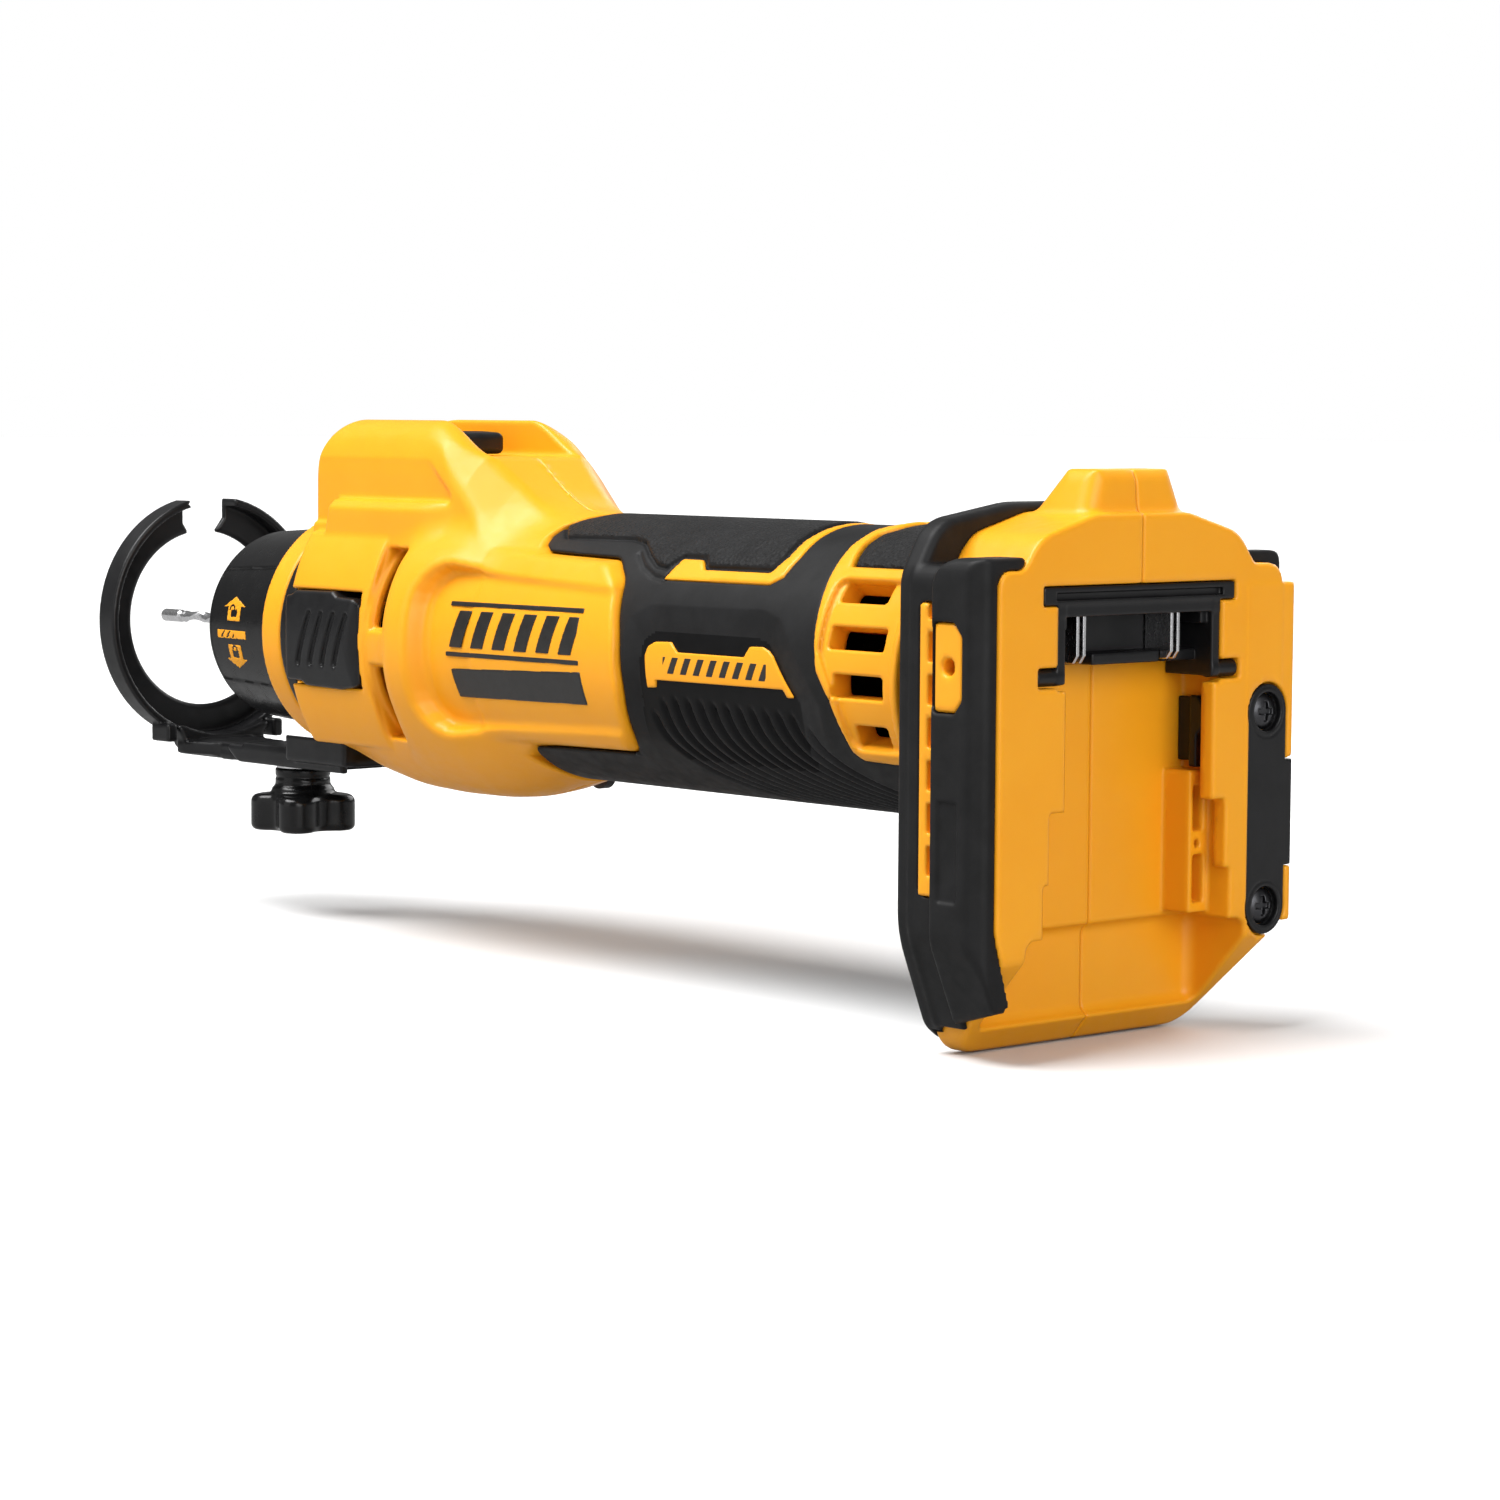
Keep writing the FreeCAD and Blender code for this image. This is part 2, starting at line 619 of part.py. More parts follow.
def screw(name, axis, centre, seat, end, shank, head, head_height, toward):
    """A pan-head screw with a cross recess; toward is the head's side, 1 or -1."""
    low, high = sorted((seat, end))
    stem = rod(name + "_stem", axis, centre, shank, low, high)
    low, high = sorted((seat, seat + toward * head_height))
    cap = rod(name + "_cap", axis, centre, head, low, high)
    solid = plus(name + "_solid", stem, cap)
    top = seat + toward * head_height
    slots = []
    for turn in (0, 1):
        spans = []
        half = [head * 0.62, head * 0.16]
        for letter in AXES:
            if letter == axis:
                spans.append(tuple(sorted((top + toward, top - toward * head_height * 0.6))))
            else:
                other = [item for item in AXES if item != axis].index(letter)
                reach = half[(other + turn) % 2]
                spans.append((centre[other] - reach, centre[other] + reach))
        slots.append(block(f"{name}_slot{turn}", *spans))
    return minus(name, solid, *slots)


def fasteners():
    """All screws, one sub-part for each kind."""
    node("housing_screws", group("housing_screw_set", *[
        screw(f"housing_screw_{index}", "Y", (x, z), seat, SCREW_END, SCREW_SHANK,
              SCREW_HEAD, 2.4, 1)
        for index, (x, z, seat) in enumerate(HOUSING_SCREWS)]))
    node("hook_plate_screws", group("plate_screw_set", *[
        screw("plate_screw_" + label, "X", (36.5, height), -1.9, -10.0, 1.5, 3.6, 1.7, 1)
        for label, height in PLATE_SCREWS]))
    nose = []
    for index in range(4):
        angle = math.radians(NOSE_SCREW_TURN + 90 * index)
        centre = (NOSE_SCREW_CIRCLE * math.cos(angle), NOSE_SCREW_CIRCLE * math.sin(angle))
        nose.append(screw(f"nose_screw_{index}", "X", centre, -249.0, -234.5, 1.45, 2.8,
                          2.0, -1))
    node("nose_screws", group("nose_screw_set", *nose))


def hook_plate():
    """Dark cover strip on the rear right edge, where a belt hook bolts on."""
    y = 36.5
    parts = [rod("strip_" + label, "X", (y, height), 5.5, -1.9, -0.1)
             for label, height in PLATE_SCREWS]
    parts.append(block("strip_web", (-1.9, -0.1), (31.0, 42.0), (-44.8, -6.4)))
    parts.append(block("strip_edge", (-1.9, -0.1), (40.0, D.hook_edge), (-37.0, -16.0)))
    sinks = []
    for label, height in PLATE_SCREWS:
        sinks.append(rod("strip_sink_" + label, "X", (y, height), 3.8, -1.9, 1))
    node("hook_plate", minus("hook_strip", plus("hook_strip_solid", *parts), *sinks))


# ---------------------------------------------------------------- battery terminals

def terminals():
    """Terminal block with its ears, the blades and the battery's stop spring."""
    bar = block("bar", (-5.5, -0.3), (-D.bar_half, D.bar_half), (D.socket_top + 0.1,
                                                             D.bar_top))
    back = block("block_back", (-12.8, -9.0), (-20.4, 20.4), (4.2, D.socket_top + 0.2))
    cheeks = [block("cheek_" + side, (-12.8, -0.6), span, (1.2, D.socket_top + 0.2))
              for side, span in (("left", (-22.6, -20.4)), ("right", (20.4, 22.6)))]
    roof = block("block_roof", (-12.8, -0.6), (-22.6, 22.6), (D.socket_top - 2.2,
                                                              D.socket_top + 0.2))
    roof_back = block("block_shelf", (-12.8, -5.4), (-22.6, 22.6),
                      (D.socket_top - 0.5, D.socket_top - 0.1))
    ears = [rod("ear_" + side, "Y", (-2.2, 2.6), 1.7, *span)
            for side, span in (("left", (-27.8, -20.6)), ("right", (20.6, 27.8)))]
    solid = plus("terminal_solid", bar, back, roof, roof_back, *cheeks, *ears)
    keep_in = plus("terminal_room", block("terminal_room_low", (-12.95, 5), (-22.75, 22.75),
                                          (0, D.socket_top - 0.05)),
                   block("terminal_room_bar", (-5.9, 5), (-26.7, 26.7),
                         (D.socket_top - 0.1, D.bar_top + 0.1)),
                   block("terminal_room_ears", (-3.95, 5), (-27.9, 27.9), (0.7, 4.4)))
    slots = [block(f"blade_slot_{index}", (-9.5, -2.0), (y - 0.45, y + 0.45), (4, 15.4))
             for index, y in enumerate(BLADES)]
    node("terminal_block", minus("terminal_cut",
                                 overlap("terminal_fit", solid, keep_in), *slots))
    blades = [block(f"blade_{index}", (-9.3, -2.2), (y - 0.4, y + 0.4), (4.8, 15.2))
              for index, y in enumerate(BLADES)]
    node("terminal_blades", group("blade_set", *blades))
    node("battery_stop", block("stop_spring", (-12.8, -4.2), (22.0, 25.8), (-17, -3)))


BLADES = (-15.4, -13.6, 10.7, 12.5)


# ---------------------------------------------------------------- electronics

def electronics():
    """Slide switch, control module with its board, and the leads."""
    node("switch_module", block("switch_case", (-234.8, -203), (-8, 8), (28.3, 35.7)))
    tray = minus("module_tray", block("tray_block", (-134, -42), (-12, 12), (-17, 15)),
                 block("tray_room", (-132.5, -43.5), (-10.5, 10.5), (-15.5, 16)))
    node("control_module", tray)
    board = block("board_plate", (-132, -76), (-10, 10), (-6, -4.4))
    node("circuit_board", board)
    parts = [rod("capacitor_0", "Z", (-88, 0), 5.0, -4.3, 12),
             rod("capacitor_1", "Z", (-100, 0), 5.0, -4.3, 12)]
    for index in range(6):
        x = -128 + 5.6 * (index % 3)
        y = -6.5 + 13 * (index // 3)
        parts.append(block(f"transistor_{index}", (x - 2, x + 2), (y - 2.5, y + 2.5),
                           (-4.3, 0)))
    node("board_components", group("component_set", *parts))
    node("lead_positive", rod("lead_red", "X", (-14.5, 9.5), 1.7, -73.8, -12.9))
    node("lead_negative", rod("lead_black", "X", (14.5, 9.5), 1.7, -73.8, -12.9))
    phases = [rod(f"phase_{index}", "X", (-6 + 6 * index, -19.5), 1.3, -146.9 + 8, -120)
              for index in range(3)]
    node("phase_leads", group("phase_set", *phases))


# ---------------------------------------------------------------- motor and spindle

def motor():
    """Stator, insulators, windings, bearings and bearing bracket."""
    core = new_body("stator_body")
    yoke = sketch(core, "yoke", "YZ_Plane", D.stator_front)
    circle(yoke, (0, 0), D.stator_radius)
    circle(yoke, (0, 0), D.stator_radius - 4)
    pad(core, yoke, D.stator_rear - D.stator_front)
    tooth = sketch(core, "tooth", "YZ_Plane", D.stator_front)
    inner = D.rotor_radius + D.air_gap
    outline(tooth, [(inner + 1.2, -2.2), (D.stator_radius - 2, -2.2),
                    (D.stator_radius - 2, 2.2), (inner + 1.2, 2.2)])
    tooth_pad = pad(core, tooth, D.stator_rear - D.stator_front)
    polar(core, [tooth_pad], 6)
    node("stator_core", core)
    coils = []
    for index in range(6):
        coil = minus(f"coil_solid_{index}",
                     block(f"coil_outer_{index}", (-188, -150), (14.4, 19.4), (-4.4, 4.4)),
                     block(f"coil_inner_{index}", (-184.4, -153.6), (13, 21), (-2.3, 2.3)))
        turned = group(f"coil_{index}", coil)
        turned.Placement = FreeCAD.Placement(
            V(0, 0, 0), FreeCAD.Rotation(V(1, 0, 0), 60 * index))
        coils.append(turned)
    node("stator_windings", group("coil_set", *coils))
    node("stator_insulators", group("insulator_set",
         ring("insulator_front", 23.6, 20.2, -187.5, -184.1),
         ring("insulator_rear", 23.4, 20.2, -153.9, -148.2)))
    race = D.bearing_seat - 0.02
    node("front_bearing", lathe("front_bearing_body", [
        (-250.85, D.journal_radius), (-250.85, race), (-242.85, race),
        (-242.85, D.journal_radius)]))
    node("bearing_clip", minus("clip", ring("clip_ring", 14.05, 11.5, -252.0, -251.0),
                               block("clip_gap", (-255, -250), (-3, 3), (5, 20))))
    node("rear_bearing", lathe("rear_bearing_body", [
        (-146, D.tail_radius), (-146, 9.5), (-140, 9.5), (-140, D.tail_radius)]))
    bracket = new_body("bracket_body")
    disc = sketch(bracket, "bracket_disc", "YZ_Plane", D.bracket_front)
    circle(disc, (0, 0), D.bay_radius - 0.1)
    circle(disc, (0, 0), 9.52)
    pad(bracket, disc, D.bracket_rear - D.bracket_front)
    window = sketch(bracket, "bracket_window", "YZ_Plane", D.bracket_rear)
    circle(window, (0, -16.5), 4.6)
    hole = pocket(bracket, window, 12)
    polar(bracket, [hole], 6)
    node("bearing_bracket", bracket)


def spindle():
    """Everything that turns: shaft, rotor, fan, collet, nut and bit."""
    journal = D.journal_radius - 0.03
    node("spindle_shaft", lathe("shaft", [
        (-274, 3.4), (-274, 6.8), (-262.5, 6.8), (-262.5, 8), (-251.2, 8),
        (-251.2, journal), (-242.2, journal), (-242.2, 7), (-238, 7),
        (-238, D.shaft_radius), (-190, D.shaft_radius), (-190, 4), (-146.4, 4),
        (-146.4, D.tail_radius - 0.03), (-139.5, D.tail_radius - 0.03), (-139.5, 0),
        (-258, 0), (-258, 3.4)]))
    node("rotor_core", ring("rotor", 9.9, 4.0 + D.press, -186, -152))
    magnets = []
    for index in range(4):
        arc = minus(f"magnet_solid_{index}",
                    overlap(f"magnet_part_{index}",
                            rod(f"magnet_round_{index}", "X", (0, 0), D.rotor_radius, -185,
                                -153),
                            block(f"magnet_box_{index}", (-185, -153), (0, 20), (-7.2, 7.2))),
                    rod(f"magnet_bore_{index}", "X", (0, 0), 9.95, -186, -152))
        turned = group(f"magnet_{index}", arc)
        turned.Placement = FreeCAD.Placement(
            V(0, 0, 0), FreeCAD.Rotation(V(1, 0, 0), 90 * index))
        magnets.append(turned)
    node("rotor_magnets", group("magnet_set", *magnets))
    wheel = new_body("fan_body")
    plate = sketch(wheel, "fan_plate", "YZ_Plane", D.fan_rear - 1.5)
    circle(plate, (0, 0), D.fan_radius)
    circle(plate, (0, 0), D.shaft_radius + D.press)
    pad(wheel, plate, 1.5)
    hub = sketch(wheel, "fan_hub", "YZ_Plane", D.fan_front)
    circle(hub, (0, 0), 8)
    circle(hub, (0, 0), D.shaft_radius + D.press)
    pad(wheel, hub, D.fan_rear - D.fan_front)
    vane = sketch(wheel, "fan_vane", "YZ_Plane", D.fan_front)
    outline(vane, [(7.4, -0.6), (D.fan_radius - 1, 3.4), (D.fan_radius - 1, 4.6), (7.4, 0.6)])
    vane_pad = pad(wheel, vane, D.fan_rear - D.fan_front)
    polar(wheel, [vane_pad], 11)
    node("fan", wheel)
    node("collet", lathe("collet_body", [
        (-279, D.bit_radius + D.press), (-279, 3.6), (-274.4, 5.0), (-274.2, 3.35),
        (-258.6, 3.35), (-258.6, D.bit_radius + D.press)]))
    nut = new_body("nut_body")
    hexagon = sketch(nut, "nut_hexagon", "YZ_Plane", -277.5)
    outline(hexagon, [(9.6 * math.cos(math.radians(60 * i)),
                       9.6 * math.sin(math.radians(60 * i))) for i in range(6)])
    circle(hexagon, (0, 0), 6.85)
    pad(nut, hexagon, 14)
    front = nut.newObject("Sketcher::SketchObject", "nut_front")
    front.AttachmentSupport = [(origin_part(nut, "XZ_Plane"), "")]
    front.MapMode = "FlatFace"
    outline(front, [(-277.5, 6.85), (-277.5, 9.0), (-280.9, 8.2), (-280.9, 3.9),
                    (-279.3, 3.9), (-274.6, 5.3), (-274.6, 6.85)])
    turn = nut.newObject("PartDesign::Revolution", "nut_front_turn")
    turn.Profile = front
    turn.ReferenceAxis = (front, ["H_Axis"])
    turn.Angle = 360
    node("collet_nut", nut)
    node("router_bit", lathe("bit", [
        (D.bit_tip, 0), (D.bit_tip, 1.2), (D.bit_tip + 0.6, D.bit_radius),
        (D.bit_shank_end, D.bit_radius), (D.bit_shank_end, 0)]))


# ---------------------------------------------------------------- nose

def nose():
    """Nose ring, guide mount and the turning lock collar."""
    ring_body = lathe("nose_body", [
        (D.hub_front, 14.1), (D.hub_front, D.hub_radius), (D.nose_face - 0.3, D.hub_radius),
        (D.nose_face, D.nose_radius - 1.8), (D.nose_face + 1.4, D.nose_radius),
        (D.nose_rear - 0.6, D.nose_radius), (D.nose_rear, D.nose_radius - 0.6),
        (D.nose_rear, D.spigot_radius), (D.shell_front - 0.1, D.spigot_radius),
        (D.shell_front - 0.1, D.sleeve_radius), (D.sleeve_end, D.sleeve_radius),
        (D.sleeve_end, D.sleeve_bore), (D.bearing_rear, D.sleeve_bore),
        (D.bearing_rear, D.bearing_seat), (D.bearing_front, D.bearing_seat),
        (D.bearing_front, 14.1)])
    cuts = []
    for index in range(4):
        angle = math.radians(NOSE_SCREW_TURN + 90 * index)
        centre = (NOSE_SCREW_CIRCLE * math.cos(angle), NOSE_SCREW_CIRCLE * math.sin(angle))
        cuts.append(rod(f"nose_pass_{index}", "X", centre, 1.5, -255, -230))
        cuts.append(rod(f"nose_sink_{index}", "X", centre, 2.9, -255, -249))
    node("nose_ring", minus("nose_ring_cut", ring_body, *cuts))

    node("nose_collar", lathe("collar_body", [
        (D.collar_rear, D.hub_radius + D.running), (D.collar_rear, D.collar_rear_radius - 0.4),
        (D.collar_rear - 1.2, D.collar_rear_radius),
        (D.collar_face + 2.4, D.collar_front_radius),
        (D.collar_face + 0.7, D.collar_front_radius - 0.8),
        (D.collar_face, D.collar_front_radius - 2.6), (D.collar_face, D.collar_mouth),
        (D.collar_face + 2.2, D.collar_mouth), (D.collar_face + 4, 19.2),
        (D.hub_front - 0.4, 19.6), (D.hub_front - 0.4, D.hub_radius + D.running)]))

    band = ring("band", D.band_radius, D.spigot_radius + 0.1, D.nose_rear + 0.2,
                D.shell_front - 0.2)
    lug = block("band_lug", (D.nose_rear + 0.2, D.shell_front - 0.2), (-15, -9), (22.4, 27.4))
    saddle = block("saddle", (-262, D.shell_front - 0.2), (-13, 13),
                   (D.arm_top - D.arm_roof, -18))
    around_nose = rod("saddle_round", "X", (0, 0), D.nose_radius + 0.15, -270,
                      D.nose_rear + 0.2)
    inside_band = rod("saddle_bore", "X", (0, 0), D.spigot_radius + 0.1, -250, -230)
    foot = minus("saddle_cut", saddle, around_nose, inside_band)
    roof = block("arm_plate", (D.arm_front, D.shell_front - 0.2), (-D.arm_half, D.arm_half),
                 (D.arm_top - D.arm_roof, D.arm_top))
    cheeks = [block("arm_cheek_" + side, (D.arm_front, D.arm_rear), span,
                    (D.guide_bar_bottom, D.arm_top - D.arm_roof))
              for side, span in (("left", (-D.arm_half, -D.guide_bar_half - D.gap)),
                                 ("right", (D.guide_bar_half + D.gap, D.arm_half)))]
    thread = rod("arm_thread", "Z", (D.knob_x, 0), D.clamp_screw_radius + D.running, -40, -20)
    node("guide_mount", minus("guide_mount_cut",
                              plus("guide_mount_solid", band, lug, foot, roof, *cheeks),
                              thread))


def depth_guide():
    """Open guide ring on its bar, one moulding, with the clamp slot."""
    rim = D.guide_face + D.guide_rim_depth
    ring_body = lathe("guide_ring", [
        (D.guide_face, D.guide_bore), (D.guide_face, D.guide_radius), (rim, D.guide_radius),
        (rim, D.guide_radius - D.guide_rim_wall),
        (D.guide_face + D.guide_plate, D.guide_radius - D.guide_rim_wall),
        (D.guide_face + D.guide_plate, D.guide_bore)])
    half_gap = math.tan(math.radians(SIZES["guide_gap"] / 2))
    wedge = new_body("guide_wedge")
    mouth = sketch(wedge, "guide_mouth", "YZ_Plane", D.guide_face - 5)
    outline(mouth, [(0, 0), (half_gap * 50, 50), (-half_gap * 50, 50)])
    pad(wedge, mouth, 20)
    cradle = block("cradle", (rim - 3, rim + 3.5), (-D.cradle_half, D.cradle_half),
                   (D.guide_bar_bottom + 1.4, D.cradle_top))
    shoulder = block("guide_shoulder_block", (D.guide_face + 1, D.guide_shoulder),
                     (-D.guide_bar_half, D.guide_bar_half),
                     (D.guide_bar_bottom, D.arm_top))
    tongue = block("guide_tongue", (D.guide_shoulder - 5, D.guide_bar_end),
                   (-D.guide_bar_half, D.guide_bar_half),
                   (D.guide_bar_bottom, D.guide_bar_top))
    bore = rod("guide_clear", "X", (0, 0), D.guide_radius - D.guide_rim_wall,
               D.guide_face + D.guide_plate, -280)
    slot_half = D.clamp_screw_radius + 0.8
    slot = block("clamp_slot", (D.knob_x - slot_half, D.knob_x + D.guide_travel + slot_half),
                 (-slot_half, slot_half), (-40, -30))
    base = minus("guide_base", plus("guide_base_solid", cradle, shoulder, tongue), bore, slot)
    node("depth_guide", plus("depth_guide_whole", minus("guide_open", ring_body, wedge), base))


def clamp():
    """Four-lobed clamp knob with its steel screw and washer."""
    body = new_body("knob_body")
    hub = sketch(body, "knob_hub", "XY_Plane", D.knob_bottom)
    circle(hub, (D.knob_x, 0), 8.5)
    pad(body, hub, D.knob_top - D.knob_bottom)
    neck = sketch(body, "knob_neck_round", "XY_Plane", D.knob_top - 1)
    circle(neck, (D.knob_x, 0), D.knob_neck)
    pad(body, neck, D.guide_bar_bottom - 0.9 - D.knob_top + 1)
    lobe = 4.6
    lobes = [rod(f"knob_lobe_{index}", "Z",
                 (D.knob_x + (D.knob_radius - lobe) * math.cos(math.radians(45 + 90 * index)),
                  (D.knob_radius - lobe) * math.sin(math.radians(45 + 90 * index))),
                 lobe, D.knob_bottom, D.knob_top)
             for index in range(4)]
    bore = rod("knob_bore", "Z", (D.knob_x, 0), D.clamp_screw_radius + D.press, -46, -30)
    node("clamp_knob", minus("knob", plus("knob_solid", body, *lobes), bore))
    node("clamp_screw", rod("clamp_stud", "Z", (D.knob_x, 0), D.clamp_screw_radius, -45.9,
                            D.arm_top + 0.8))
    node("clamp_washer", minus("washer", rod("washer_disc", "Z", (D.knob_x, 0), 6.3,
                                             D.guide_bar_bottom - 0.85,
                                             D.guide_bar_bottom - 0.35),
                               rod("washer_hole", "Z", (D.knob_x, 0),
                                   D.clamp_screw_radius + 0.1, -40, -30)))


# ---------------------------------------------------------------- controls

def controls():
    """Slide button, side release pads and their springs."""
    cap = new_body("button_cap")
    drawing = sketch(cap, "button_plan", "XY_Plane", D.recess_floor + D.gap)
    outline(drawing, [(D.button_front, -D.button_half), (D.button_rear, -D.button_half),
                      (D.button_rear, D.button_half), (D.button_front, D.button_half)])
    pad(cap, drawing, D.button_top - D.recess_floor - D.gap)
    fillet(cap, 1.2, lambda edge: edge.BoundBox.ZMax > 46 or edge.BoundBox.ZLength > 1)
    stem = block("button_stem", (-217, -209.4), (-2.7, 2.7), (38, D.recess_floor + 1))
    runner = block("button_runner", (-220, -206.4), (-6, 6), (36.1, 38.5))
    node("switch_button", plus("button", cap, stem, runner))

    face = overlap("pad_face",
                   rod("pad_round", "X", (0, 0), D.pad_radius, D.pad_front, D.pad_rear),
                   block("pad_box", (D.pad_front, D.pad_rear), (-40, -D.pad_foot + 0.5),
                         (-D.pad_half, D.pad_half)))
    foot = block("pad_flange", (D.shell_front + 4.3, D.pad_rear),
                 (-D.pad_foot, -D.pad_foot + 1.8), (-11.8, 11.8))
    left = plus("pad", face, foot)
    node("release_pad_left", left)
    node("release_pad_right", mirrored("pad_other", left))
    spring = rod("pad_coil", "Y", (-222.0, 0), 3.0, -D.pad_foot + 2.0,
                 -D.sleeve_radius - 0.3)
    node("pad_spring_left", spring)
    node("pad_spring_right", mirrored("pad_coil_other", spring))


# ---------------------------------------------------------------- assembly and export

def foot_bumpers():
    """Both overmoulded halves; the right one is shorter and leaves room for the hook flange."""
    whole, *right_cuts = bumper_right()
    left = mirrored("bumper_left_shape", overlap("bumper_half", whole, RIGHT_SPACE))
    node("bumper_left", left)
    node("bumper_right", minus("bumper_right_shape",
                               overlap("bumper_right_half", whole, RIGHT_SPACE),
                               *right_cuts))


def check_document():
    """Stops on any failed feature or bad shape."""
    doc.recompute()
    for obj in doc.Objects:
        if any(word in obj.State for word in ("Invalid", "Error")):
            raise RuntimeError(f"{obj.Name} ({obj.Label}) failed: {obj.State}")
    for obj in NODES:
        if obj.Shape.isNull() or not obj.Shape.isValid() or not obj.Shape.Solids:
            raise RuntimeError(f"{obj.Label} has no valid solid")


def export():
    """Writes each sub-part's shape to its own file."""
    os.makedirs("parts", exist_ok=True)
    for obj in NODES:
        obj.Shape.exportStep(f"parts/{obj.Label}.step")
        print(f"{obj.Label}: {len(obj.Shape.Solids)} solids, {obj.Shape.Volume:.0f} mm3")


housing()
foot_bumpers()
grip_cover()
plates()
fasteners()
hook_plate()
terminals()
electronics()
motor()
spindle()
nose()
depth_guide()
clamp()
controls()
check_document()
export()
print(len(NODES), "sub-parts")
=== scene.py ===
"""Visual model of the cordless cut-out router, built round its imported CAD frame.

Shapes are signed distance fields in millimetres, turned into meshes by surface nets.
"""
import json
import math

import bpy
import numpy as np
from mathutils import Matrix, Vector
from numpy import hypot, interp, maximum, minimum


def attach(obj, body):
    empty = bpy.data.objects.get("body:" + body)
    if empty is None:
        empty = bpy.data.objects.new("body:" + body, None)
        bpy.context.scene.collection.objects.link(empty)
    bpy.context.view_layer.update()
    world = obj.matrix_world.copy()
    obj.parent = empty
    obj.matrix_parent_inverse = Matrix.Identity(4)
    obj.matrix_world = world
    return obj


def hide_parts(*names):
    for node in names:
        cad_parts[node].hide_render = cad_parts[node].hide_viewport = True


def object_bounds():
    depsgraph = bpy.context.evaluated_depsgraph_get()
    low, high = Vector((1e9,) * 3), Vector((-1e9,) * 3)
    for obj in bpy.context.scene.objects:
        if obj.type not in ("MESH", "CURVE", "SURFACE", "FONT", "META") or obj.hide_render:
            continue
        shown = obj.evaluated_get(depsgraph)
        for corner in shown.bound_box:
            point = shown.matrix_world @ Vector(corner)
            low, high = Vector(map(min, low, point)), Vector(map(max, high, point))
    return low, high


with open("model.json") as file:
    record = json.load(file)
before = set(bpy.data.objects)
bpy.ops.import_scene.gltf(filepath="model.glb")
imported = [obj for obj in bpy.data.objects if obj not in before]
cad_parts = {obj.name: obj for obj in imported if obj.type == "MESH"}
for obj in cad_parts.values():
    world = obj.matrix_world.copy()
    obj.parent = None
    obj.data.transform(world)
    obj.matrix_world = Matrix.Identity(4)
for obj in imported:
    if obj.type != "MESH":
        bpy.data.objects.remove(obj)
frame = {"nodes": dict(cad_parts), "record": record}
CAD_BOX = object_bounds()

COARSE = 1.0
MM = 0.001
GRIP_ROLL = 29.3      # radius on which the grip's and label's outlines are drawn
COLLAR_ROLL = 23.2    # the same for the lock collar

FAR = 1e9             # squared distance before any edge has been measured

# ------------------------------------------------------------------ distance fields


def smin(a, b, k):
    """Smooth minimum: a union with a fillet of about k."""
    h = maximum(k - np.abs(a - b), 0) / k
    return minimum(a, b) - h * h * k * 0.25


def smax(a, b, k):
    """Smooth maximum: an intersection with an edge rounded by about k."""
    return -smin(-a, -b, k)


def cut(a, b, k=0.4):
    """a less b."""
    return smax(a, -b, k)


def slab(v, low, high):
    """Distance to the space between two parallel planes."""
    return np.abs(v - (low + high) / 2) - (high - low) / 2


def meet(parts, rounding=0.0):
    """Intersection of perpendicular parts with rounded edges."""
    grown = [part + rounding for part in parts]
    inside = minimum(maximum.reduce(grown), 0)
    outside = np.sqrt(sum(maximum(part, 0) ** 2 for part in grown))
    return inside + outside - rounding


def box(p, x, y, z, rounding=0.0):
    """A block between two corners."""
    return meet([slab(p[0], *x), slab(p[1], *y), slab(p[2], *z)], rounding)


def rod(p, axis, centre, radius, low, high, rounding=0.0):
    """A rod along a coordinate axis."""
    along = p["xyz".index(axis)]
    a, b = [p[i] for i in range(3) if i != "xyz".index(axis)]
    return meet([hypot(a - centre[0], b - centre[1]) - radius, slab(along, low, high)],
                rounding)


def nearer(best, wx, wy, ex, ey):
    """Squared distance to a segment, if it is less than the best one so far."""
    t = np.clip((wx * ex + wy * ey) / (ex * ex + ey * ey), 0, 1)
    return minimum(best, (wx - ex * t) ** 2 + (wy - ey * t) ** 2)


def polygon(u, v, corners):
    """Signed distance to a closed polygon in the plane (u, v)."""
    corners = np.asarray(corners, np.float32)
    best = np.full(u.shape, FAR, np.float32)
    inside = np.zeros(u.shape, bool)
    for (ax, ay), (bx, by) in zip(corners, np.roll(corners, 1, axis=0)):
        ex, ey = bx - ax, by - ay
        wx, wy = u - ax, v - ay
        best = nearer(best, wx, wy, ex, ey)
        over = v >= ay
        under = v < by
        turn = ex * wy > ey * wx
        inside ^= (over & under & turn) | (~over & ~under & ~turn)
    return np.where(inside, -1, 1) * np.sqrt(best)


def prism(p, axis, corners, low, high, rounding=0.0):
    """A polygon extruded along a coordinate axis; corners are in the other two axes."""
    along = p["xyz".index(axis)]
    u, v = [p[i] for i in range(3) if i != "xyz".index(axis)]
    return meet([polygon(u, v, corners), slab(along, low, high)], rounding)


def stroke(u, v, points):
    """Distance to an open polyline."""
    best = np.full(u.shape, FAR, np.float32)
    for (ax, ay), (bx, by) in zip(points[:-1], points[1:]):
        best = nearer(best, u - ax, v - ay, bx - ax, by - ay)
    return np.sqrt(best)


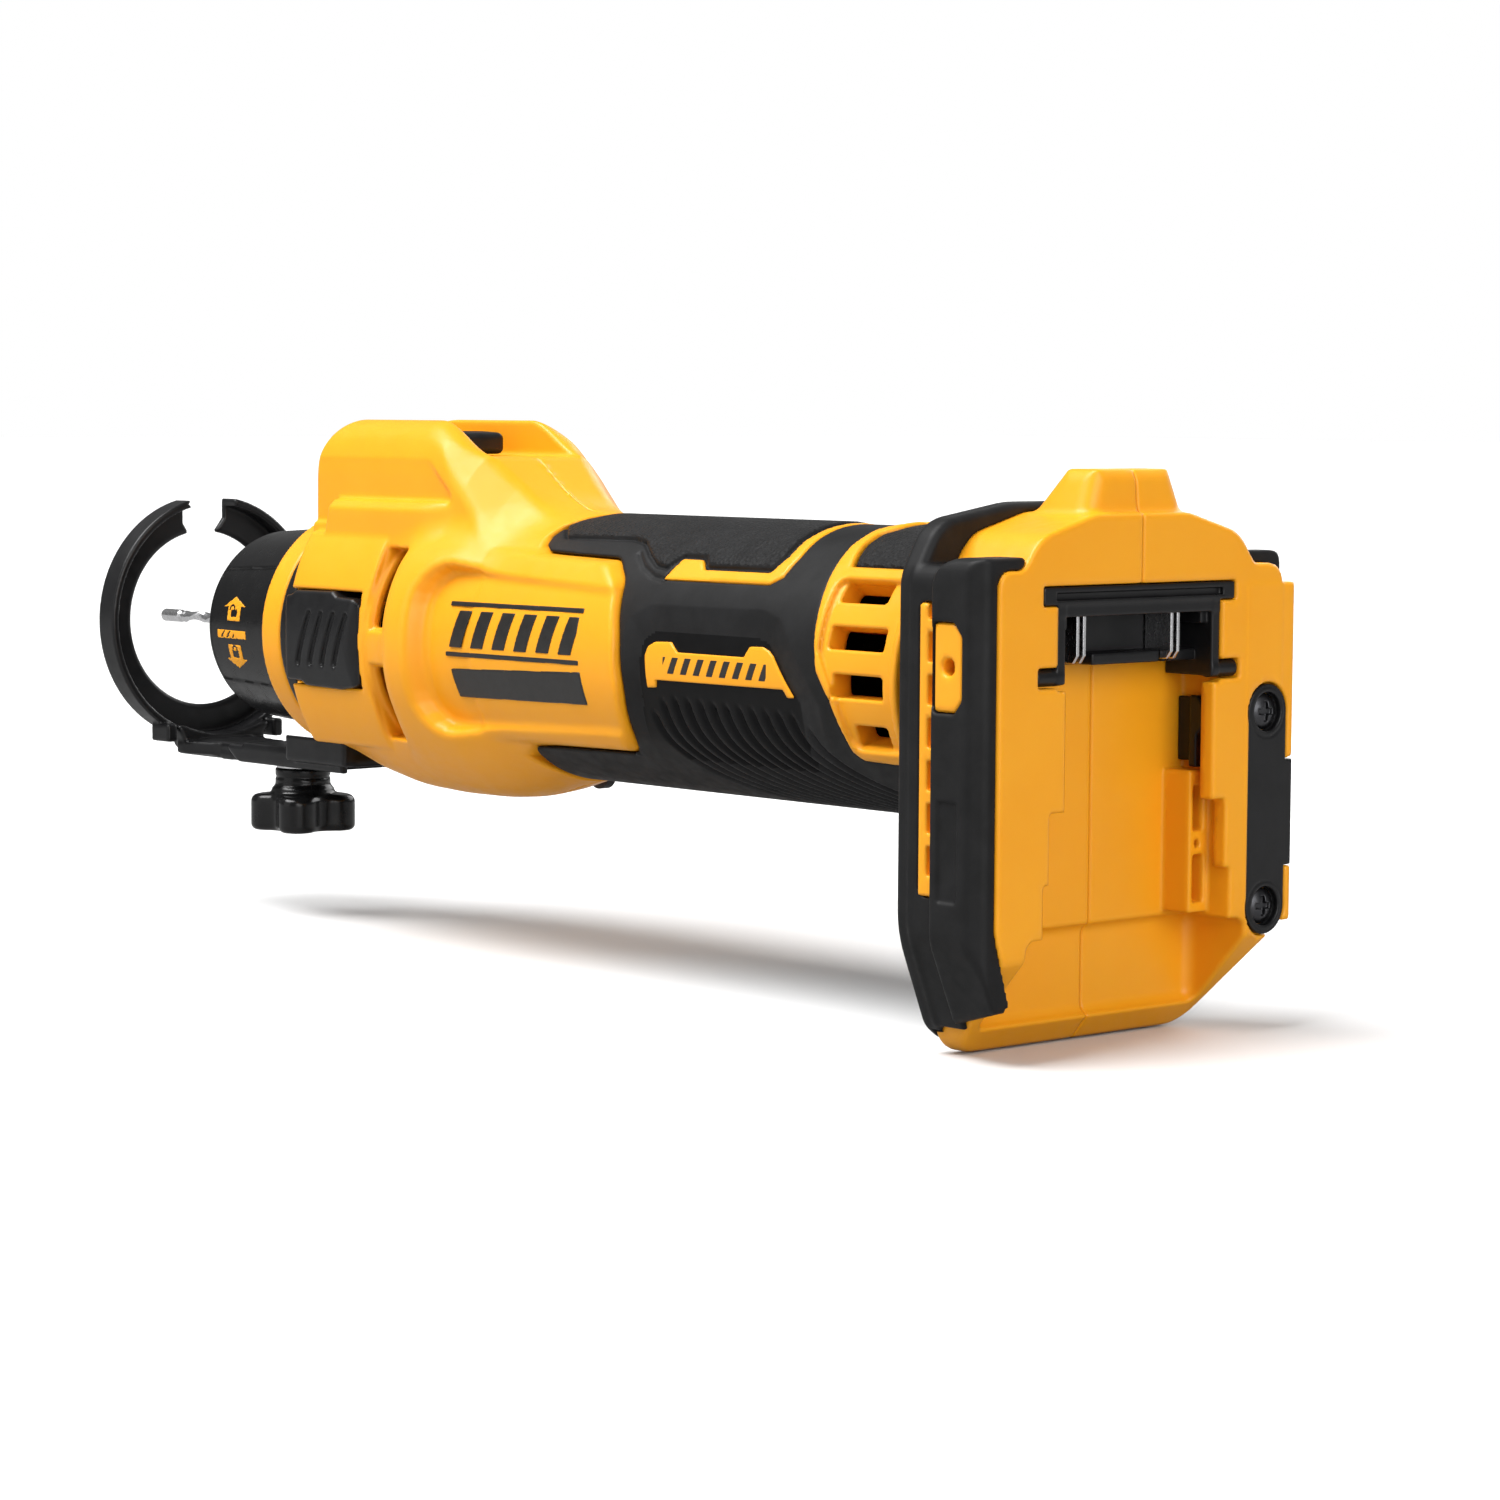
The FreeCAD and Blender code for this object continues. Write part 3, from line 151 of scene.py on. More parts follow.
def rounded(corners, steps=6):
    """Closed outline from (u, v, radius) corners, its corners replaced by arcs."""
    points = []
    count = len(corners)
    for i in range(count):
        here = np.array(corners[i][:2], float)
        radius = corners[i][2]
        before = np.array(corners[i - 1][:2], float) - here
        after = np.array(corners[(i + 1) % count][:2], float) - here
        if radius <= 0:
            points.append(tuple(here))
            continue
        a, b = before / np.linalg.norm(before), after / np.linalg.norm(after)
        half = math.acos(np.clip(a @ b, -1, 1)) / 2
        longest = 0.49 * min(np.linalg.norm(before), np.linalg.norm(after))
        reach = min(radius / math.tan(half), longest)
        radius = reach * math.tan(half)
        middle = here + (a + b) / np.linalg.norm(a + b) * radius / math.sin(half)
        start, end = here + a * reach - middle, here + b * reach - middle
        turn = math.atan2(start[0] * end[1] - start[1] * end[0], start @ end)
        for k in range(steps + 1):
            angle = turn * k / steps
            c, s = math.cos(angle), math.sin(angle)
            points.append((middle[0] + c * start[0] - s * start[1],
                           middle[1] + s * start[0] + c * start[1]))
    return points


def ease(low, high, value):
    """Smooth step from 0 to 1."""
    t = np.clip((value - low) / (high - low), 0, 1)
    return t * t * (3 - 2 * t)


def zone(p, inside, reach, field):
    """Evaluates field only where inside is true; elsewhere reach stands for it."""
    out = np.asarray(reach, np.float32).copy()
    if inside.any():
        out[inside] = field([q[inside] for q in p])
    return out


# ------------------------------------------------------------------ meshing

BLOCK = 12            # grid points along a block's side
BATCH = 400           # blocks worked out together
STEEPEST, FLATTEST = 1.35, 0.5    # slopes expected of a field
SETTLING = 2          # times that points are moved onto the surface
NORMAL_STEP = 0.04
FACE_LIMIT = 190000   # triangles kept in one mesh


def sample(field, low, counts, step):
    """The field on a grid, worked out only in the blocks that the surface may cross."""
    blocks = [-(-n // BLOCK) for n in counts]
    grid = np.empty([b * BLOCK for b in blocks], np.float32)
    index = np.stack(np.meshgrid(*[np.arange(b) for b in blocks], indexing="ij"), -1)
    index = index.reshape(-1, 3)
    middle = (low + (index * BLOCK + (BLOCK - 1) / 2) * step).astype(np.float32)
    centre = field([middle[:, 0], middle[:, 1], middle[:, 2]])
    reach = (BLOCK - 1) / 2 * step * math.sqrt(3) * STEEPEST + 1
    view = grid.reshape(blocks[0], BLOCK, blocks[1], BLOCK, blocks[2], BLOCK)
    view = view.transpose(0, 2, 4, 1, 3, 5)
    view[...] = centre.reshape(*blocks, 1, 1, 1)
    live = index[np.abs(centre) < reach]
    offset = np.stack(np.meshgrid(*[np.arange(BLOCK)] * 3, indexing="ij"), -1).reshape(-1, 3)
    for first in range(0, len(live), BATCH):
        part = live[first:first + BATCH]
        at = (part[:, None, :] * BLOCK + offset[None]).reshape(-1, 3) * step + low
        at = at.astype(np.float32)
        value = field([at[:, 0], at[:, 1], at[:, 2]]).reshape(-1, BLOCK, BLOCK, BLOCK)
        view[part[:, 0], part[:, 1], part[:, 2]] = value
    return grid[:counts[0], :counts[1], :counts[2]]


def surface_nets(grid):
    """Vertices (in cells) and quads of the zero level of a grid."""
    solid = grid < 0
    nx, ny, nz = solid.shape
    corner = [(i, j, k) for i in (0, 1) for j in (0, 1) for k in (0, 1)]
    view = {c: solid[c[0]:nx - 1 + c[0], c[1]:ny - 1 + c[1], c[2]:nz - 1 + c[2]]
            for c in corner}
    some = np.logical_or.reduce(list(view.values()))
    every = np.logical_and.reduce(list(view.values()))
    cells = np.argwhere(some & ~every)
    name = np.full(some.shape, -1, np.int64)
    name[tuple(cells.T)] = np.arange(len(cells))
    total = np.zeros((len(cells), 3))
    count = np.zeros(len(cells))
    for a in corner:
        for axis in range(3):
            if a[axis]:
                continue
            b = list(a)
            b[axis] = 1
            fa = grid[tuple((cells + a).T)]
            fb = grid[tuple((cells + b).T)]
            crossed = (fa < 0) != (fb < 0)
            t = np.where(crossed, fa / np.where(crossed, fa - fb, 1), 0)
            spot = np.array(a, float)[None].repeat(len(cells), 0)
            spot[:, axis] += t
            total += spot * crossed[:, None]
            count += crossed
    verts = cells + total / count[:, None]
    quads = []
    for axis in range(3):
        ahead = [slice(None)] * 3
        here = [slice(None)] * 3
        ahead[axis] = slice(1, None)
        here[axis] = slice(0, -1)
        change = solid[tuple(ahead)] != solid[tuple(here)]
        u, v = [i for i in range(3) if i != axis]
        edge = np.argwhere(change)
        keep = (edge[:, u] > 0) & (edge[:, v] > 0)
        keep &= (edge[:, u] < solid.shape[u] - 1) & (edge[:, v] < solid.shape[v] - 1)
        edge = edge[keep]
        ring = []
        for du, dv in ((0, 0), (-1, 0), (-1, -1), (0, -1)):
            at = edge.copy()
            at[:, u] += du
            at[:, v] += dv
            ring.append(name[tuple(at.T)])
        face = np.stack(ring, 1)
        flip = solid[tuple(edge.T)]
        if axis == 1:
            flip = ~flip
        face[flip] = face[flip][:, ::-1]
        quads.append(face)
    return verts, np.concatenate(quads)


def gradient(field, points):
    """Slope of a field at points."""
    steps = []
    for axis in range(3):
        d = np.zeros(3, np.float32)
        d[axis] = NORMAL_STEP
        more, less = (points + d).T, (points - d).T
        steps.append(field(list(more)) - field(list(less)))
    return np.stack(steps, 1) / (2 * NORMAL_STEP)


def linked(name, data):
    """A new object in the scene."""
    obj = bpy.data.objects.new(name, data)
    bpy.context.scene.collection.objects.link(obj)
    return obj


def solid_mesh(name, field, low, high, step, flip_y=False):
    """A mesh object in metres of a field between two corners in millimetres.

    Its points are drawn onto the field's zero level after the first pass."""
    step = step * COARSE
    low = np.asarray(low, float) - step * 1.37
    counts = [int(math.ceil((b - a) / step)) + 3 for a, b in zip(low, high)]
    verts, quads = surface_nets(sample(field, low, counts, step))
    verts = (verts * step + low).astype(np.float32)
    for _ in range(SETTLING):
        slope = gradient(field, verts)
        size = maximum((slope ** 2).sum(1), FLATTEST ** 2)
        move = (field(list(verts.T)) / size)[:, None] * slope
        length = np.linalg.norm(move, axis=1, keepdims=True)
        verts = verts - move * minimum(1, 0.45 * step / maximum(length, 1e-6))
    if flip_y:
        verts[:, 1] *= -1
        quads = quads[:, ::-1]
    mesh = bpy.data.meshes.new(name)
    mesh.from_pydata((verts * MM).tolist(), [], quads.tolist())
    mesh.validate()
    obj = linked(name, mesh)
    mesh.polygons.foreach_set("use_smooth", [True] * len(mesh.polygons))
    if len(quads) * 2 > FACE_LIMIT:
        thin = obj.modifiers.new("thin", "DECIMATE")
        thin.ratio = FACE_LIMIT / (len(quads) * 2)
        apply_modifiers(obj)
    return obj


def apply_modifiers(obj):
    """Replaces an object's mesh by its evaluated mesh."""
    graph = bpy.context.evaluated_depsgraph_get()
    graph.update()
    mesh = bpy.data.meshes.new_from_object(obj.evaluated_get(graph), depsgraph=graph)
    old = obj.data
    obj.modifiers.clear()
    obj.data = mesh
    bpy.data.meshes.remove(old)
    obj.data.polygons.foreach_set("use_smooth", [True] * len(obj.data.polygons))


def arc(p):
    """Unrolled coordinates round the spindle axis: x, length along the arc, radius.

    The arc starts at the side of the tool and runs up."""
    return p[0], np.arctan2(p[2], p[1]) * GRIP_ROLL, hypot(p[1], p[2])


def bend(points, radius=GRIP_ROLL):
    """(x, degrees) corners as (x, arc length)."""
    return [(x, math.radians(angle) * radius) for x, angle in points]


# ------------------------------------------------------------------ housing

# half of the foot seen from behind: (y, z, corner radius)
FOOT_LINE = [(-6, 33, 0), (13, 33, 12), (27.5, 29, 9), (32.2, 22.8, 2), (40.5, 22.8, 4),
             (40.5, -45, 11), (31, -69.5, 6), (-6, -69.5, 0)]


def foot_outline(grow):
    """The foot's outline on one side, let out by a margin."""
    moved = []
    for y, z, radius in FOOT_LINE:
        up = grow if z > 0 else (-grow / 2 if z > -60 else -grow)
        out = 0 if y < 0 else (grow if y > 31.5 else grow / 2)
        moved.append((y + out, z + up, radius))
    return rounded(moved)


FOOT_PLAIN = foot_outline(0)
FOOT_RIM = rounded([(y if y < 33 else y - 2.1, z, radius) for y, z, radius in FOOT_LINE])


def rim_rebate(p):
    """Room for the left bumper's rear lip round the edge of the foot's rear face."""
    x, y, z = p
    return meet([-polygon(y, z, FOOT_RIM), slab(x, -6, 5), 30 - y, -58.5 - z])


# blocks cut out of the foot's rear: x from, x to, y to, z from, z to, rounding
SOCKET = ((-13, -3.5, 26, -47, 16, 0.8), (-5, 5, 20.5, -47, 0.6, 0.8),
          (-5, 5, 24.5, -47, -22.8, 0.8), (-5, 5, 26, -47, -36.3, 0.8),
          (-5, 5, 22.8, 0, 16, 0.6), (-6, 5, 26.7, 15.9, 19.7, 0.3),
          (-4, 5, 28, 0.6, 4.5, 0.5), (-15, 5, 30.5, -64.5, -46.5, 2.5),
          (-18, -12, 17, 5, 15, 0))


def foot_hollow(p):
    """Battery socket, rail slots, latch room and the hollows round them."""
    return minimum.reduce([box(p, (x0, x1), (-9, y1), (z0, z1), rounding)
                           for x0, x1, y1, z0, z1, rounding in SOCKET])


def rail_details(p):
    """Ledges moulded along the right rail's inner side."""
    back = box(p, (-13.5, -6), (20.6, 26.5), (-45.5, -17.6), 0.3)
    pockets = [
        box(p, (-11.5, 0), (21.8, 24.6), (-29.5, -20.5), 0.6),
        box(p, (-11.5, 0), (21.8, 24.9), (-43.6, -34.2), 0.6),
        rod(p, "x", (23, -32), 0.85, -11, 0),
    ]
    return cut(back, minimum.reduce(pockets), 0.3)


def foot(p, right):
    """The battery foot, one side."""
    x, y, z = p
    slabs = prism(p, "x", FOOT_PLAIN, -21.9, 0, 0.5)
    side = prism(p, "y", [(-20.5, 28), (-1.2, 28), (-2.4, 42.3), (-11, 42.3)], -20, 20)
    back = prism(p, "x", [(-15, 28), (15.8, 28), (10.4, 42.3), (-15, 42.3)], -30, 5)
    tab = smax(side, back, 4)
    solid = smin(slabs, tab, 1.2)
    if right:
        flange = box(p, (-3, 0), (30, 44), (-48, 19), 0.4)
        notch = box(p, (-5, 5), (42.9, 50), (-36.5, -15.5), 0.2)
        solid = smin(solid, cut(flange, notch), 0.5)
    chin = prism(p, "y", [(0, -50), (12, -50), (12, -80), (-17.5, -80), (-17.5, -69.5)],
                 -60, 60)
    solid = cut(solid, chin, 0.8)
    if not right:
        solid = cut(solid, rim_rebate(p), 0.2)
    solid = minimum(solid, foot_patch(p))
    strip = meet([polygon(y, z, foot_outline(1.5)), slab(x, -17.6, -13.4),
                  slab(z, -38.3, 16.5), 30 - y], 0.4)
    for place in (-34.5 + 8 * k for k in range(7)):
        notch = meet([slab(x, -15.4, -13.9), slab(z, place, place + 5.6), 39.6 - y], 0.3)
        strip = cut(strip, notch, 0.2)
    solid = minimum(solid, strip)
    solid = cut(solid, foot_hollow(p), 0.7)
    if right:
        solid = smin(solid, rail_details(p), 0.3)
        seat = box(p, (-2, 5), (30.6, 50), (-50.6, 0.8), 0.2)
        seat = smax(seat, seat_outline(p), 0.2)
        solid = cut(solid, seat, 0.3)
    solid = cut(solid, rod(p, "y", (-8.9, 4.9), 1.65, 33, 60), 0.5)
    return solid


# (y, z) of the hook plate's screws
HOOK_SCREWS = ((36.5, -6.4), (36.5, -44.8))


def seat_outline(p):
    """The hook plate's outline with a small gap."""
    y, z = p[1:]
    ends = [hypot(y - y0, z - z0) - 5.9 for y0, z0 in HOOK_SCREWS]
    return minimum.reduce(ends + [meet([slab(y, 30.8, 42.3), slab(z, -44.8, -6.4)]),
                                     meet([slab(y, 40, 60), slab(z, -37.2, -15.8)])])


# (x, radius) of the front shell at the side, at the bottom and over the top
SIDE_LINE = [(-260, 28.6), (-238, 28.8), (-206, 29.8), (-199.5, 31), (-196.5, 33.4),
             (-194.5, 34.1), (-184, 34.2), (-178, 33.7), (-170, 31.9), (-163, 30.3),
             (-157, 29.5), (-150, 29.2), (-90, 29.2)]
BOTTOM_LINE = [(-260, 28.6), (-238, 28.9), (-232, 30.2), (-222, 32.8), (-211, 34.7),
               (-200, 35.2), (-188, 35.1), (-180, 34.4), (-172, 32.7), (-166, 30.9),
               (-160, 29.4), (-150, 28.9), (-90, 28.9)]
TOP_LINE = [(-260, 28.6), (-238, 28.8), (-206, 30), (-190, 32.4), (-180, 32),
            (-170, 30.4), (-163, 29.6), (-157, 29.3), (-90, 29.2)]


def profile(x, line):
    """Value of a profile at x, its corners softened."""
    xs, values = zip(*line)
    return sum(interp(x + shift, xs, values) for shift in (-1.6, -0.8, 0, 0.8, 1.6)) / 5


def front_body(p):
    """Barrel, body ring and belly: a radius that changes along and round the axis."""
    x, y, z = p
    r = hypot(y, z)
    lift = z / maximum(r, 1e-3)
    side, low, top = (profile(x, line) for line in (SIDE_LINE, BOTTOM_LINE, TOP_LINE))
    under = ease(0.42, 0.93, -lift)
    over = ease(0.5, 0.95, lift)
    radius = side + (low - side) * under + (top - side) * over
    return (r - radius) * 0.9


FRONT_FACE = -238
HUMP_FRONT, HUMP_HALF = -239, 20.9
RECESS_FLOOR, CREST_RISE = 41.6, 7.9
REAR_FALL = 0.74      # how far the hump's rear slope falls for each millimetre


def hump_block(p):
    """The switch hump with its recess."""
    x, y, z = p
    y = np.abs(y)
    crest = RECESS_FLOOR + CREST_RISE * (1 - ease(-201, -182.5, x))
    slope = 41.5 - (x + 183.3) * REAR_FALL
    under = minimum(crest, slope)
    top = (z - under) * 0.8
    a = smax(HUMP_FRONT - x, top, 10.5)
    side = y - HUMP_HALF - 0.035 * maximum(34 - z, 0)
    side = smax(side, (y - HUMP_HALF + (z - 40) * 0.5) * 0.8, 3)
    a = smax(a, side, interp(x, [-238, -230], [1.2, 4]))
    half_roof = interp(x, [-203, -193, -183.3, -175, -167], [HUMP_HALF, 18.6, 13.8, 11.6, 10.4])
    a = smax(a, (y - half_roof + (z - under) * 0.9) * 0.72, 1.8)
    a = smax(a, 10 - z, 0.1)
    a = smax(a, x + 150, 0.1)
    panel = rounded([(-250, 40.2, 0), (-196.5, 40.2, 5), (-186, 31.5, 4), (-191, 26, 4),
                     (-250, 26, 0)], 4)
    sunk = smax(polygon(x, z, panel), 20 - y, 0.9)
    a = cut(a, sunk, 0.8)
    outline = [(-229.6, 31.4), (-184, 31.4), (-184, -5), (-235.5, -5), (-235.5, 18),
               (-231.5, 23.2)]
    plank = meet([polygon(x, z, outline), slab(y, -30, 23.6)], 1.1)
    plank = smax(plank, (y - 23.6 + (z - 29.6) * 1.1) * 0.67, 0.6)
    a = smin(a, smax(plank, (x + 186 + (y - 20.5) * 2.2) * 0.41, 2), 1)
    recess = box(p, (-233, -150), (-20, 12), (41.3, 70), 0.9)
    a = cut(a, recess, 1)
    seam = smax(hypot(y, (z - slope) * 0.8) - 0.45, slab(x, -181, -167), 0.3)
    return minimum(a, seam)


BELT_CENTRE, BELT_RADIUS = -13.8, 44    # y and radius of the saddle round the side pad


def belt_panel(p):
    """Saddle panel round the side pad."""
    x, y, z = p
    a = smax(hypot(y - BELT_CENTRE, z) - BELT_RADIUS, slab(z, -24.6, 24), 1)
    a = smax(a, slab(x, -236.6, -206.4), 0.8)
    a = smax(a, 10 - y, 0.1)
    bevel = (x + 207.4 + (y - 29.6) * 0.6) * 0.8
    return smax(a, bevel, 0.6)


def slots(p):
    """Exhaust channel behind the belt panel and the openings in it."""
    x, y, z = p
    r = hypot(y, z)
    channel = meet([slab(x, -206, -197.2), slab(z, -21.6, 20.8), 29 - r], 0.5)
    window = minimum(meet([slab(x, -205.4, -198.6), slab(z, 3.2, 20.2)], 0.6),
                        meet([slab(x, -205.4, -198.6), slab(z, -21, -5.6)], 0.6))
    web = meet([slab(x, -207, -196), slab(z, -5.1, 2.7), r - 31.6], 0.5)
    return cut(channel, web), smax(window, 20 - r, 0.2)


TONGUE = rounded([(-170, 21.4, 0), (-130.5, 20.3, 5), (-124.6, 16, 5), (-120.9, 4.3, 20),
                  (-119.9, -6, 20), (-121.2, -15.4, 4), (-122.5, -19.4, 3), (-170, -19.6, 0)],
                 5)


def tongue(p):
    """Side panel that carries the blank label."""
    x, y, z = p
    r = hypot(y, z)
    shape = smax(polygon(x, z, TONGUE), r - 31.1, 1.6)
    return smax(shape, 5 - y, 0.1)


def label_floor(x):
    """Radius of the label panel's sunk surface."""
    return interp(x, [-187, -170, -150, -125, -100], [29.4, 29.7, 30, 30.25, 31.5])


def label_pocket(p):
    """Sunk field of the label panel."""
    x, y, z = p
    r = hypot(y, z)
    outline = rounded([(-186, 17.2, 7.5), (-128, 14.8, 3), (-100, 14.8, 0), (-100, -15.6, 0),
                       (-128, -15.6, 3), (-186, -17.6, 7.5)], 5)
    flat = polygon(x, z, outline) - 0.42 * (r - 31)
    return smax(flat * 0.9, label_floor(x) - r, 1.6)


def inside(p):
    """Motor bay, fan room and electronics bay."""
    x, y, z = p
    r = hypot(y, z)
    tube = interp(x, [-234, -233.9, -208.6, -208.4, -192.2, -192, -148.2, -148, -16.4],
                     [24.5, 24.5, 24.5, 27.2, 27.2, 24, 24, 23.6, 23.6])
    bay = maximum(r - tube, slab(x, -234, -16.4))
    sleeve = maximum(r - 12.05, slab(x, -240, -230))
    room = box(p, (-235, -189), (-20, 17.3), (17, 38.8))
    stem = box(p, (-223.5, -208.8), (-9, 3), (38, 42))
    window = box(p, (-237.5, -209.6), (18, 40), (-10.9, 10.9), 0.3)
    return minimum.reduce([bay, sleeve, room, stem, window])


# outline of the vent grille: (x, degrees); below it, the angles of its openings
VENT_LINE = [(-60.4, 100), (-61.2, 82), (-63.9, 73), (-64.2, 58), (-63.2, 42.7), (-61.9, 28),
             (-60.8, 14), (-59.4, 2), (-55.8, -9), (-53.8, -20.6), (-52.4, -30),
             (-50.1, -33.2), (-42, -33.8), (-36.6, -33.8), (-36.6, 46.2), (-58.9, 46.2),
             (-60.2, 52.4), (-61.4, 60), (-61.4, 69), (-59.6, 76), (-57.8, 100)]
VENTS = (35.5, 15.8, -3.3, -23.5)


def vent_frame(p):
    """Yellow vent grille let into the rubber grip."""
    x, s, r = arc(p)
    frame_band = smax(polygon(x, s, bend(VENT_LINE)), np.abs(r - 27.4) - 2.5, 0.6)
    sunk = rounded([(-59.6, 20.5, 2), (-38.4, 20.5, 1), (-38.4, -14.6, 1), (-51.6, -14.6, 3),
                    (-54.4, -4, 3), (-59.2, 5, 3)], 3)
    return cut(frame_band, smax(polygon(x, s, sunk), 28.7 - r, 0.3), 0.3)


def vent_holes(p):
    """Openings between the grille's ribs, right through the wall."""
    x, s, r = arc(p)
    holes = []
    for angle in VENTS:
        middle = math.radians(angle) * GRIP_ROLL
        rear = interp(angle, [-3.3, 15.8, 35.5], [-41.6, -41.8, -44.6])
        front = interp(angle, [-23.5, -3.3, 15.8, 35.5], [-50.6, -55.4, -57.6, -58])
        reach = 2.75 - 0.3 * np.clip(r - 27, 0, 2)
        holes.append(meet([slab(x, front, rear), np.abs(s - middle) - reach], 0.5))
    return smax(minimum.reduce(holes), 20 - r, 0.1)


def housing(p, right):
    """One housing half, for y from the parting plane outwards."""
    x, y, z = p
    r = hypot(y, z)

    def front(q):
        a = front_body(q)
        a = smin(a, hump_block(q), 3.4)
        a = smin(a, belt_panel(q), 0.5)
        channel, window = slots(q)
        a = cut(a, channel, 0.8)
        a = cut(a, label_pocket(q), 2.2)
        a = smin(a, tongue(q), 1.2)
        a = cut(a, label_pocket(q), 0.8)
        a = cut(a, window, 0.5)
        hump_step = 1.2 * ease(28.6, 30.4, hypot(q[1], q[2]))
        a = smax(a, FRONT_FACE - hump_step - q[0], 0.6)
        return smax(a, polygon(q[0], q[2], YELLOW_REAR), 0.7)

    core = smax(r - 26.6, slab(x, -165, -16.5), 0.1)
    a = minimum(zone(p, x < -112, x + 113, front), core)
    a = minimum(a, zone(p, (x > -75) & (x < -25), np.abs(x + 50) - 24, vent_frame))
    a = minimum(a, zone(p, (x > -116) & (x < -72), np.abs(x + 94) - 20, stripe))
    a = minimum(a, zone(p, x > -34, maximum(-29 - x, 1),
                           lambda q: foot(q, right)))
    a = cut(a, inside(p), 0.3)
    a = cut(a, zone(p, (x > -66) & (x < -32), np.abs(x + 49) - 10, vent_holes), 0.4)
    if right:
        for x0, z0, seat in HOUSING_SCREWS:
            well = maximum(hypot(x - x0, z - z0) - SCREW_WELL, seat - y)
            a = cut(a, well, 0.5)
    return smax(a, 0.04 - y, 0.35)


# boundary between the yellow front and the rubber grip, seen from the side: (x, z)
YELLOW_REAR = [(-300, 80), (-154, 80), (-154, 29.6), (-156.4, 28.6), (-159, 26.2),
               (-159.2, 24.2), (-157.8, 22.2), (-155, 21), (-150, 20.8)] + [
    (x, z) for x, z in TONGUE if x > -150] + [
    (-150, -19.9), (-158.5, -20.3), (-162.5, -23), (-160, -27), (-158.8, -34), (-158.8, -80),
    (-300, -80)]


# ------------------------------------------------------------------ rubber grip and trim

# outlines on the unrolled grip: (x, degrees from the side of the tool)
STRIPE = [(-112.4, 36.2), (-110.2, 47.7), (-104.3, 47.4), (-101.7, 41.9), (-81.4, 42.4),
          (-79.7, 50.9), (-80.2, 63.1), (-79.9, 75.6), (-79.2, 100), (-77.2, 100),
          (-77.7, 77.2), (-77.4, 65.5), (-76.5, 51.2), (-77.2, 40.2), (-80.2, 36.4)]
TOP_PANEL = [(-153.5, 57.6), (-131, 58.4), (-126.5, 56), (-121.5, 48.5), (-117, 43),
             (-113.5, 42), (-110.6, 49), (-103.9, 48.8), (-101.2, 43.3), (-81.8, 43.8),
             (-80.7, 51), (-81.2, 63), (-80.9, 76), (-80.2, 100), (-158, 100), (-158, 66)]
REAR_PANEL = [(-58.6, 46.6), (-59.9, 52.4), (-61, 60), (-61, 69), (-59.2, 76),
              (-57.4, 100), (-20, 100), (-20, 46.6)]
SHOULDER = [(-125.5, 49.3), (-121, 42), (-116, 37.3), (-112.6, 36.1)]
FIELD = [(-119.5, 8.9), (-118.1, 18.3), (-113, 24.1), (-78, 24.9), (-72.7, 21.2),
         (-68.2, 11.6), (-62.8, -1.3), (-59.5, -12), (-60.5, -40), (-119.5, -40)]
MEDALLION = [(-114.5, 5.4), (-113.7, 10), (-110.9, 13.3), (-79.6, 13.8), (-76, 11.9),
             (-72.5, 5.4), (-66.5, -12), (-66.5, -44), (-115.5, -44), (-115, -4)]
BADGE = [(-113, 3.2), (-112.2, 7), (-110.2, 9.1), (-105.2, 9.5), (-103, 5.3),
         (-82.5, 5.3), (-81, 9.8), (-77.2, 10.1), (-75.2, 8.6), (-73.9, 6.5),
         (-67.9, -10), (-69.7, -10.2), (-70.9, -6.8), (-109.7, -7), (-110, -10.3),
         (-112.6, -10.6)]
SLEEVE_RADIUS = 29
MEDALLION_DEPTH, GROOVE_DEPTH = 1.3, 0.75
GROOVES = 12          # spaces between the grooves of the medallion
FAN = 46.5            # its grooves' spread along x at their upper ends


def stripe(p):
    """Yellow line of the housing that shows through the grip."""
    x, s, r = arc(p)
    return smax(polygon(x, s, bend(STRIPE)), np.abs(r - 27.9) - 1.25, 0.4)


def grip_height(x, s):
    """Radius of the rubber's outer surface."""
    degrees = np.degrees(s / GRIP_ROLL)
    outer = maximum(-polygon(x, s, bend(FIELD)), 0)
    inner = maximum(polygon(x, s, bend(MEDALLION)), 0)
    sunk = MEDALLION_DEPTH * np.clip(outer / (outer + inner + 1e-3), 0, 1) * ease(-36, -14, degrees)
    raised = minimum(polygon(x, s, bend(TOP_PANEL)), polygon(x, s, bend(REAR_PANEL)))
    height = SLEEVE_RADIUS - sunk + 0.5 * (1 - ease(-0.9, 0, raised))
    height -= 0.55 * np.exp(-(maximum(raised - 0.15, 0) / 0.35) ** 2) * (raised > -0.2)
    shoulder = stroke(x, s, bend(SHOULDER))
    height -= 0.4 * np.exp(-(shoulder / 0.5) ** 2)
    lip = polygon(x, s, bend([(-158, -38.8), (-122.8, -38.8), (-122.4, -44.2), (-158, -44.2)]))
    height += 0.55 * (1 - ease(-0.8, 0.2, lip))
    turn = maximum(-degrees - 14, 0)
    drift = 0.0075 * turn ** 2 + 0.035 * turn
    spread = FAN + 0.5 * drift
    place = (x + 112.8 - drift) / spread
    nearest = np.clip(np.round(place * GROOVES), 0, GROOVES)
    away = np.abs(place * GROOVES - nearest) * spread / GROOVES
    start = interp(nearest, [0, 1, 2, GROOVES - 1, GROOVES], [-19, -13.5, -12, -15, -20])
    fade = ease(start, start - 7, degrees) * ease(-76, -62, degrees)
    away *= np.cos(np.arctan((0.015 * turn + 0.035) * 1.9))
    return height - GROOVE_DEPTH * fade * np.exp(-(away / 0.62) ** 2)


